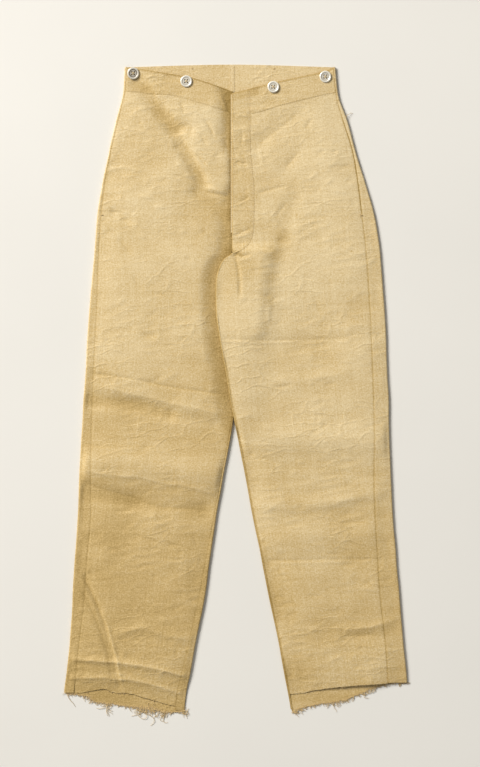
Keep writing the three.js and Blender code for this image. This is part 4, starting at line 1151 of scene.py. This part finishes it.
def frays():
    """Both raw hems: tufts of long loose threads, a fringe of short ones, matted ones that lie
    along the edge, and fuzz on the fronts' edges."""
    for leg in (RIGHT, LEFT):
        rng = np.random.default_rng(leg.seed + 40)
        tufts = TUFTS[leg.name]
        each = {key: np.repeat(values, tufts["count"].astype(int)) for key, values in tufts.items()}
        n = len(each["count"])
        x = rng.uniform(each["low"], each["high"])
        paths = strands(
            x, across(leg.back_hem, x) + FRAY.under, np.full(n, LONG.height),
            each["reach"] * rng.uniform(*LONG.reach, n), each["lean"] + rng.normal(0, LONG.lean, n),
            each["curl"] * rng.uniform(*LONG.curl, n), rng, LONG.places,
        )
        tubes(
            f"long_threads_{leg.name}", paths, taper(LONG.places), LONG.sides, loose_thread(),
            tone=rng.uniform(*LONG.tone, n),
        )

        short, matted = FRAY.short, FRAY.matted
        x = rng.uniform(*hem_span(leg, "edge", "inner"), short + matted)
        reach = FRAY.reach * rng.gamma(*SHORT.gamma, short) + SHORT.least
        reach = np.append(reach, rng.uniform(*MATTED.reach, matted))
        sideways = rng.choice([-1, 1], matted) * rng.uniform(*MATTED.lean, matted)
        lean = np.append(rng.normal(0, SHORT.lean, short), sideways)
        curl = np.append(rng.uniform(*SHORT.curl, short), rng.uniform(*MATTED.curl, matted))
        start = across(leg.back_hem, x) + FRAY.under
        paths = strands(x, start, np.full(x.shape, SHORT.height), reach, lean, curl, rng, SHORT.places)
        tubes(
            f"loose_threads_{leg.name}", paths, taper(SHORT.places), SHORT.sides, loose_thread(),
            replaces=[f"hem_fray_{leg.name}"], tone=rng.uniform(*SHORT.tone, len(x)),
        )

        n = FRAY.fuzz
        x = rng.uniform(*hem_span(leg, "seam", "inseam"), n)
        edge = across(leg.front_hem, x)
        z = top_of(leg, x, edge) + leg_hem_lift(leg, x, np.zeros(n)) - FUZZ.sunk
        reach = rng.gamma(*FUZZ.gamma, n) + FUZZ.least
        lean, curl = rng.normal(0, FUZZ.lean, n), rng.uniform(*FUZZ.curl, n)
        paths = strands(x, edge + FRAY.under, z, reach, lean, curl, rng, FUZZ.places)
        sag = FUZZ.sag * steps(FUZZ.places) ** 2 * reach[:, None]
        paths[..., 2] = np.maximum(z[:, None] - sag, FUZZ.lowest)
        tubes(
            f"hem_fuzz_{leg.name}", paths, taper(FUZZ.places) * FUZZ.finer, FUZZ.sides, loose_thread(),
            tone=rng.uniform(*FUZZ.tone, n),
        )
    u = steps(STRAY.places)
    along = steps(len(STRAY_THREAD["x"]))
    x, y = (np.interp(u, along, STRAY_THREAD[key]) for key in ("x", "y"))
    path = np.column_stack([x, y, STRAY.height - STRAY.drop * u**STRAY.bend])
    radius = blend(STRAY.thick, STRAY.thin, u)
    tubes("stray_thread", path[None], radius, STRAY.sides, loose_thread(), tone=np.array([STRAY.tone]))


# --- materials ---
DISPLAY = Sizes(top=255, knee=0.04045, slope=12.92, lift=0.055, whole=1.055, power=2.4)
CREASE_BEND = Sizes(scale=24.0, share=0.03)
# The linen's noises, by the inputs of Finish.noise.
LINEN_NOISES = {
    "weft": {"stretch": (150, 950, 1), "rough": 0.6},
    "warp": {"stretch": (950, 170, 1), "shift": (3.1, 1.7, 0), "rough": 0.6},
    "speck": {"scale": 430, "rough": 0.7},
    "slub": {"detail": 1.0, "stretch": (90, 1300, 1), "shift": (7.0, 2.0, 0)},
    "bars": {"stretch": (5.0, 130, 1), "shift": (1.0, 5.0, 0)},
    "streaks": {"stretch": (360, 7.0, 1), "shift": (4.0, 0.5, 0)},
    "mottle": {"scale": 26, "detail": 4.0, "rough": 0.62},
    "cloud": {"scale": 6.5},
    "patches": {"scale": 9.0},
    "hips": {"scale": 14.0},
}
PALENESS = {"mottle": 0.3, "cloud": 0.16, "bars": 0.24, "streaks": 0.3}  # each noise's share
# Pairs are the range that a value is fitted from, and fours have the new range after it.
LINEN = Sizes(
    weft=1.0, warp=0.7, speck=1.9, slub=(0.66, 0.80), slub_colour=0.35, deep=(-0.1, 0.4), pale=(0.4, 1.1),
    under_pitch=1.08, weave=0.08, thread=0.12, thick=0.12, mottle=0.3, patch_run=0.14,
    rough=(0.7, 1.3, 0.50, 0.66), bump=0.55, sheen=0.12, sheen_rough=0.45, specular=0.45,
)
# Nets of fine creases: their stretch, a line's reach and rise, and from where they show.
CREASE_NETS = (((21, 58, 1), 0.10, 0.5, 0.42), ((44, 95, 1), 0.14, 0.24, 0.5))
HIP_CREASES = Sizes(
    along=(0.12, 0.3), patches=(0.44, 0.6), stretch=(34, 100, 1), reach=0.16, turn=0.75, rise=0.42,
)
THREAD = Sizes(
    fibre=1900, tone=0.6, fibre_share=0.7, depth=(0.1, 1.1, 0.5, 0.0), rough=(0.3, 0.7, 0.6, 0.8),
    bump=0.5, bump_depth=0.12, sheen=0.2,
)
METAL = Sizes(
    cloud={"scale": 420, "detail": 4.0, "rough": 0.65}, specks_scale=1500, specks=(0.60, 0.70),
    uneven=1.1, worn=(0.15, 0.95), speck_colour=0.45, dark=(-0.15, -0.7), speck_rough=0.3,
    rough=(0.0, 1.0, 0.5, 0.34), cloud_height=0.7, speck_height=0.3, bump=0.35, bump_depth=0.15,
    metallic=0.35,
)
SURFACE = Sizes(grain={"scale": 3.0, "detail": 3.0}, dimmer=0.97, contrast=(0.3, 0.7), rough=(0.85, 0.9))


def linear(display):
    """A display colour of 0 to 255 as linear light."""
    light = []
    for share in (value / DISPLAY.top for value in display):
        curved = ((share + DISPLAY.lift) / DISPLAY.whole) ** DISPLAY.power
        light.append(share / DISPLAY.slope if share <= DISPLAY.knee else curved)
    return tuple(light)


class Wire:
    """A shader output that adds Math nodes when it is added, taken away, multiplied, divided
    or raised to a power, on either side of a number."""

    def __init__(self, finish, socket):
        self.finish, self.socket = finish, socket

    def maths(self, operation, first, second):
        return self.finish.make("ShaderNodeMath", {"operation": operation}, {0: first, 1: second})

    def __add__(self, other):
        return self.maths("ADD", self, other)

    def __sub__(self, other):
        return self.maths("SUBTRACT", self, other)

    def __rsub__(self, other):
        return self.maths("SUBTRACT", other, self)

    def __mul__(self, other):
        return self.maths("MULTIPLY", self, other)

    __radd__ = __add__
    __rmul__ = __mul__


class Finish:
    """A material made of nodes that one method adds: its type, its settings, its inputs."""

    def __init__(self, name):
        self.material = bpy.data.materials.new(name)
        self.material.use_nodes = True
        self.tree = self.material.node_tree
        self.tree.nodes.clear()

    def make(self, kind, settings=(), inputs=(), output=0):
        """A node, and the wire from one of its outputs."""
        node = self.tree.nodes.new(kind)
        for key, value in dict(settings).items():
            setattr(node, key, value)
        for key, value in dict(inputs).items():
            if isinstance(value, Wire):
                self.tree.links.new(value.socket, node.inputs[key])
            else:
                node.inputs[key].default_value = value
        return Wire(self, node.outputs[output]) if len(node.outputs) else None

    def mix(self, factor, first, second):
        """A mix of two colours, each a link or three numbers."""
        first, second = (c if isinstance(c, Wire) else (*c, 1) for c in (first, second))
        return self.make("ShaderNodeMix", {"data_type": "RGBA"}, {0: factor, 6: first, 7: second}, 2)

    def mapped(self, place, **inputs):
        """Places moved, turned or stretched."""
        return self.make("ShaderNodeMapping", {}, {"Vector": place, **inputs})

    def noise(self, place, scale=1.0, detail=2.0, stretch=None, shift=(0, 0, 0), rough=0.5, output=0):
        """Smooth noise from 0 to 1 at a scale per metre, stretched along the axes."""
        if stretch is not None:
            place = self.mapped(place, Location=shift, Scale=stretch)
        inputs = {"Vector": place, "Scale": scale, "Detail": detail, "Roughness": rough}
        return self.make("ShaderNodeTexNoise", {}, inputs, output)

    def creases(self, place, stretch, reach, turn=0.12):
        """Thin lines, 1 at their middle and 0 at reach: the edges of a net of cells, bent by
        noise, that is stretched and turned."""
        bent = self.noise(place, scale=CREASE_BEND.scale, output=1)
        bent = self.make("ShaderNodeVectorMath", {"operation": "SCALE"}, {0: bent, 3: CREASE_BEND.share})
        place = self.make("ShaderNodeVectorMath", {"operation": "ADD"}, {0: place, 1: bent})
        place = self.mapped(place, Scale=stretch, Rotation=(0, 0, turn))
        inputs = {"Vector": place, "Scale": 1.0}
        cells = self.make("ShaderNodeTexVoronoi", {"feature": "DISTANCE_TO_EDGE"}, inputs)
        return 1 - self.fit(cells, 0.0, reach)

    def wave(self, place, direction, pitch, bend=0.6, bend_scale=40.0):
        """A sine from 0 to 1 across bands of one pitch in metres."""
        settings = {"wave_type": "BANDS", "bands_direction": direction, "wave_profile": "SIN"}
        inputs = {"Vector": place, "Scale": math.pi / 10 / pitch, "Distortion": bend, "Detail": 1.0,
                  "Detail Scale": bend_scale}
        return self.make("ShaderNodeTexWave", settings, inputs, 1)

    def fit(self, value, low, high, new_low=0.0, new_high=1.0):
        """A value's range carried over to a new one, and held inside it."""
        inputs = {0: value, 1: low, 2: high, 3: new_low, 4: new_high}
        return self.make("ShaderNodeMapRange", {"clamp": True}, inputs)

    def object_place(self):
        """Places in the object's own metres."""
        return self.make("ShaderNodeTexCoord", output=3)

    def tone(self):
        """The piece's own tone."""
        return self.make("ShaderNodeAttribute", {"attribute_name": "tone"}, output=2)

    def done(self, colour, roughness, height=None, strength=1.0, distance=1.0, **constants):
        """The Principled shader that ends the material; distance is in millimetres."""
        inputs = {"Base Color": colour, "Roughness": roughness}
        if height is not None:
            bump = {"Height": height, "Strength": strength, "Distance": distance * MM}
            inputs["Normal"] = self.make("ShaderNodeBump", {}, bump)
        inputs.update({key.replace("_", " "): value for key, value in constants.items()})
        shader = self.make("ShaderNodeBsdfPrincipled", {}, inputs)
        self.make("ShaderNodeOutputMaterial", {}, {"Surface": shader})
        return self.material


def made_once(name, maker, *details):
    """A material by its name, made the first time it is asked for."""
    return bpy.data.materials.get(name) or maker(Finish(name), bpy.context.scene.trousers, *details)


def linen():
    """Undyed linen: uneven warp and weft threads, slubs, soft mottling, and each piece's tone, which
    holds painted light and shade and falls towards the hems and along the seams."""
    return made_once("undyed linen", linen_nodes)


def linen_nodes(finish, look):
    place = finish.make("ShaderNodeUVMap", {"uv_map": "grain"})
    noise = {name: finish.noise(place, **inputs) for name, inputs in LINEN_NOISES.items()}
    weft, warp, speck = (noise[name] - 0.5 for name in ("weft", "warp", "speck"))
    thick = finish.fit(noise["slub"], *LINEN.slub)
    thread = weft * LINEN.weft + warp * LINEN.warp + speck * LINEN.speck
    pale = finish.tone() + thread * look.thread_contrast
    for name, share in PALENESS.items():
        pale = pale + (noise[name] - 0.5) * share
    colour = finish.mix(finish.fit(pale, *LINEN.deep), look.linen_deep, look.linen_mid)
    colour = finish.mix(finish.fit(pale, *LINEN.pale), colour, look.linen_pale)
    colour = finish.mix(thick * LINEN.slub_colour, colour, look.linen_slub)
    over = finish.wave(place, "X", look.weave_pitch)
    under = finish.wave(place, "Y", look.weave_pitch * LINEN.under_pitch)
    height = over * LINEN.weave + under * LINEN.weave + thread * LINEN.thread + thick * LINEN.thick
    height = height + (noise["mottle"] - 0.5) * LINEN.mottle
    for stretch, reach, rise, low in CREASE_NETS:
        shown = finish.fit(noise["patches"], low, low + LINEN.patch_run)
        height = height + finish.creases(place, stretch, reach) * shown * rise
    along = finish.make("ShaderNodeSeparateXYZ", {}, {0: place}, 1)
    hips = finish.fit(along, *HIP_CREASES.along) * finish.fit(noise["hips"], *HIP_CREASES.patches)
    net = finish.creases(place, HIP_CREASES.stretch, HIP_CREASES.reach, turn=HIP_CREASES.turn)
    height = height + net * hips * HIP_CREASES.rise
    return finish.done(
        colour, finish.fit(noise["weft"] + noise["mottle"], *LINEN.rough), height, LINEN.bump,
        Sheen_Weight=LINEN.sheen, Sheen_Roughness=LINEN.sheen_rough, Specular_IOR_Level=LINEN.specular,
    )


def sewing_thread():
    """Pale sewing thread with a twist."""
    return made_once("sewing thread", thread_nodes, "thread_colour")


def loose_thread():
    """Loose linen threads, no two the same tone."""
    return made_once("loose linen thread", thread_nodes, "fray_colour")


def thread_nodes(finish, look, colour):
    fibre = finish.noise(finish.object_place(), scale=THREAD.fibre)
    depth = finish.fit(finish.tone() * THREAD.tone + fibre * THREAD.fibre_share, *THREAD.depth)
    shade = finish.mix(depth, getattr(look, colour), look.linen_deep)
    return finish.done(
        shade, finish.fit(fibre, *THREAD.rough), fibre, THREAD.bump, THREAD.bump_depth,
        Sheen_Weight=THREAD.sheen,
    )


def metal():
    """White metal gone dull, bright on the worn rim, with painted shade in the holes."""
    return made_once("dull white metal", metal_nodes)


def metal_nodes(finish, look):
    place, rim = finish.object_place(), finish.tone()
    cloud = finish.noise(place, **METAL.cloud)
    specks = finish.fit(finish.noise(place, scale=METAL.specks_scale), *METAL.specks)
    worn = finish.fit(rim + (cloud - 0.5) * METAL.uneven, *METAL.worn)
    colour = finish.mix(worn, look.metal_dull, look.metal_worn)
    colour = finish.mix(specks * METAL.speck_colour, colour, look.metal_dark)
    # Painted shade: where the tone is lowest, in the holes' pits, the colour turns to the dark metal.
    colour = finish.mix(finish.fit(rim, *METAL.dark), colour, look.metal_dark)
    rough = finish.fit(worn - specks * METAL.speck_rough, *METAL.rough)
    height = cloud * METAL.cloud_height - specks * METAL.speck_height
    return finish.done(colour, rough, height, METAL.bump, METAL.bump_depth, Metallic=METAL.metallic)


def floor_nodes(finish, look):
    """A pale matt surface, very slightly uneven."""
    grain = finish.noise(finish.object_place(), **SURFACE.grain)
    dimmer = [SURFACE.dimmer * share for share in look.floor_colour]
    colour = finish.mix(finish.fit(grain, *SURFACE.contrast), look.floor_colour, dimmer)
    return finish.done(colour, finish.fit(grain, *SURFACE.contrast, *SURFACE.rough))


# --- the stage ---
CAMERA = Sizes(place=(0.0068, 0.0226, 3.0), lens=87.9, sensor=36.0)
FLOOR = Sizes(half=14.0, under=0.4 * MM)
LIGHT_SPREAD = math.radians(120)


def put(name, data, place=(0, 0, 0)):
    """A new object in the scene."""
    added = bpy.data.objects.new(name, data)
    added.location = place
    bpy.context.scene.collection.objects.link(added)
    return added


def stage():
    """A pale floor, a large soft light from the upper left, a faint fill, and the camera
    straight above."""
    scene = bpy.context.scene
    look = scene.trousers
    half = FLOOR.half
    mesh = bpy.data.meshes.new("floor")
    corners = [(x * half, y * half, -FLOOR.under) for x, y in ((-1, -1), (1, -1), (1, 1), (-1, 1))]
    mesh.from_pydata(corners, [], [(0, 1, 2, 3)])
    mesh.materials.append(made_once("pale floor", floor_nodes))
    put("floor", mesh)

    scene.view_settings.view_transform = "Standard"
    scene.world = bpy.data.worlds.new("pale room")
    scene.world.use_nodes = True
    room = scene.world.node_tree.nodes["Background"].inputs
    room[0].default_value = (*look.room_colour, 1)
    room[1].default_value = look.room_light
    for name, power, size, place, colour in (
        ("key", look.key_power, look.key_size, look.key_place, look.key_colour),
        ("fill", look.fill_power, 2.5, look.fill_place, (1.0, 1.0, 1.0)),
    ):
        lamp = bpy.data.lights.new(name, "AREA")
        lamp.energy, lamp.size, lamp.color, lamp.spread = power, size, colour, LIGHT_SPREAD
        light = put(name, lamp, place)
        light.rotation_euler = (-Vector(place)).to_track_quat("-Z", "Y").to_euler()
    lens = bpy.data.cameras.new("camera")
    lens.lens, lens.sensor_width = CAMERA.lens, CAMERA.sensor
    scene.camera = put("camera", lens, CAMERA.place)


# --- settings, operators and panel ---
def number(name, description, default, low=0.0, high=1000.0, unit="NONE"):
    """A setting that is one number."""
    return FloatProperty(name=name, description=description, default=default, min=low, max=high, unit=unit)


def colour(name, description, default):
    """A setting that is a colour, from its display values."""
    return FloatVectorProperty(
        name=name, description=description, subtype="COLOR", size=3, min=0, max=1, default=linear(default),
    )


def position(name, description, default):
    """A setting that is a place in metres."""
    return FloatVectorProperty(
        name=name, description=description, subtype="TRANSLATION", size=3, default=default,
    )


class TrousersSettings(bpy.types.PropertyGroup):
    """Sizes, colours and lights that a user may change"""
    crown: number("Crown", "How far the legs stand up between their folds", 1.9, 0, 6)
    fold_depth: number("Fold depth", "Height of the broad folds", 2.7, 0, 4)
    crease_depth: number("Crease depth", "Height of creases and rumples", 2.0, 0, 3)
    cloth_thickness: number("Cloth thickness", "Of one layer", 0.7 * MM, 0.3 * MM, 1.5 * MM, "LENGTH")
    weave_pitch: number("Weave pitch", "From thread to thread", 0.85 * MM, 0.1 * MM, 5 * MM, "LENGTH")
    thread_contrast: number("Thread contrast", "Unevenness of the threads", 0.6, 0, 2)
    linen_pale: colour("Pale linen", "Where the cloth is palest", (232, 216, 179))
    linen_mid: colour("Linen", "The cloth near the hems", (195, 168, 112))
    linen_deep: colour("Deep linen", "Where the cloth is deepest", (150, 123, 62))
    linen_slub: colour("Slubs", "Thick places in the thread", (150, 118, 70))
    thread_colour: colour("Sewing thread", "Thread of the stitches", (226, 204, 158))
    fray_colour: colour("Loose thread", "Threads at the raw hems", (204, 178, 128))
    metal_worn: colour("Worn metal", "The buttons' rims", (246, 243, 233))
    metal_dull: colour("Dull metal", "The buttons' faces", (212, 208, 197))
    metal_dark: colour("Dark metal", "Holes and specks", (92, 78, 64))
    floor_colour: colour("Floor", "The surface under the trousers", (228, 228, 226))
    room_colour: colour("Room", "Light from all round", (250, 243, 228))
    room_light: number("Room light", "Strength of the light from all round", 0.2)
    key_colour: colour("Key light", "Colour of the main light", (255, 250, 242))
    key_power: number("Key power", "Main light, in watts", 432)
    key_size: number("Key size", "Side of the main light", 3.2, 0.1, 20, "LENGTH")
    key_place: position("Key place", "Where the main light stands", (-5.2, 4.15, 4.3))
    fill_power: number("Fill power", "Second light, in watts", 5.6)
    fill_place: position("Fill place", "Where the second light stands", (1.8, -1.0, 2.6))


class TROUSERS_OT_centre_fell(bpy.types.Operator):
    """Make the fell of the centre-back seam"""
    bl_idname = "trousers.centre_fell"
    bl_label = "Centre-back fell"

    def execute(self, context):
        centre_fell()
        return {"FINISHED"}


class TROUSERS_OT_frays(bpy.types.Operator):
    """Make the loose threads of both raw hems"""
    bl_idname = "trousers.frays"
    bl_label = "Frayed hems"

    def execute(self, context):
        frays()
        return {"FINISHED"}


class TROUSERS_OT_backs(bpy.types.Operator):
    """Make both back panels"""
    bl_idname = "trousers.backs"
    bl_label = "Back panels"

    def execute(self, context):
        back_panels()
        return {"FINISHED"}


class TROUSERS_OT_fronts(bpy.types.Operator):
    """Make both front panels"""
    bl_idname = "trousers.fronts"
    bl_label = "Front panels"

    def execute(self, context):
        front_panels()
        return {"FINISHED"}


class TROUSERS_OT_waistbands(bpy.types.Operator):
    """Make both halves of the waistband"""
    bl_idname = "trousers.waistbands"
    bl_label = "Waistband"

    def execute(self, context):
        waistbands()
        return {"FINISHED"}


class TROUSERS_OT_fly(bpy.types.Operator):
    """Make the placket and the underlap of the fly"""
    bl_idname = "trousers.fly"
    bl_label = "Fly"

    def execute(self, context):
        fly()
        return {"FINISHED"}


class TROUSERS_OT_buttons(bpy.types.Operator):
    """Make the four buttons and their thread"""
    bl_idname = "trousers.buttons"
    bl_label = "Buttons"

    def execute(self, context):
        buttons()
        return {"FINISHED"}


class TROUSERS_OT_stitching(bpy.types.Operator):
    """Make the rows of stitches and the bar tacks"""
    bl_idname = "trousers.stitching"
    bl_label = "Stitching"

    def execute(self, context):
        stitching()
        return {"FINISHED"}


class TROUSERS_OT_stage(bpy.types.Operator):
    """Make the floor, the lights and the camera"""
    bl_idname = "trousers.stage"
    bl_label = "Stage"

    def execute(self, context):
        stage()
        return {"FINISHED"}


OPERATORS = (
    TROUSERS_OT_centre_fell, TROUSERS_OT_frays, TROUSERS_OT_backs,
    TROUSERS_OT_fronts, TROUSERS_OT_waistbands,
    TROUSERS_OT_fly, TROUSERS_OT_buttons, TROUSERS_OT_stitching, TROUSERS_OT_stage,
)


class TROUSERS_PT_panel(bpy.types.Panel):
    """The trousers' settings and pieces"""
    bl_idname = "TROUSERS_PT_panel"
    bl_label = "Linen trousers"
    bl_space_type = "VIEW_3D"
    bl_region_type = "UI"
    bl_category = "Trousers"

    def draw(self, context):
        for key in TrousersSettings.__annotations__:
            self.layout.prop(context.scene.trousers, key)
        for operator in OPERATORS:
            self.layout.operator(operator.bl_idname)


CLASSES = (TrousersSettings, *OPERATORS, TROUSERS_PT_panel)


def register():
    for made in CLASSES:
        bpy.utils.register_class(made)
    bpy.types.Scene.trousers = PointerProperty(type=TrousersSettings)


def unregister():
    del bpy.types.Scene.trousers
    for made in reversed(CLASSES):
        bpy.utils.unregister_class(made)


def main():
    """Register the add-on and make every piece in order."""
    register()
    bpy.ops.trousers.centre_fell()
    bpy.ops.trousers.frays()
    bpy.ops.trousers.backs()
    bpy.ops.trousers.fronts()
    bpy.ops.trousers.waistbands()
    bpy.ops.trousers.fly()
    bpy.ops.trousers.buttons()
    bpy.ops.trousers.stitching()
    bpy.ops.trousers.stage()


if __name__ == "__main__":
    main()
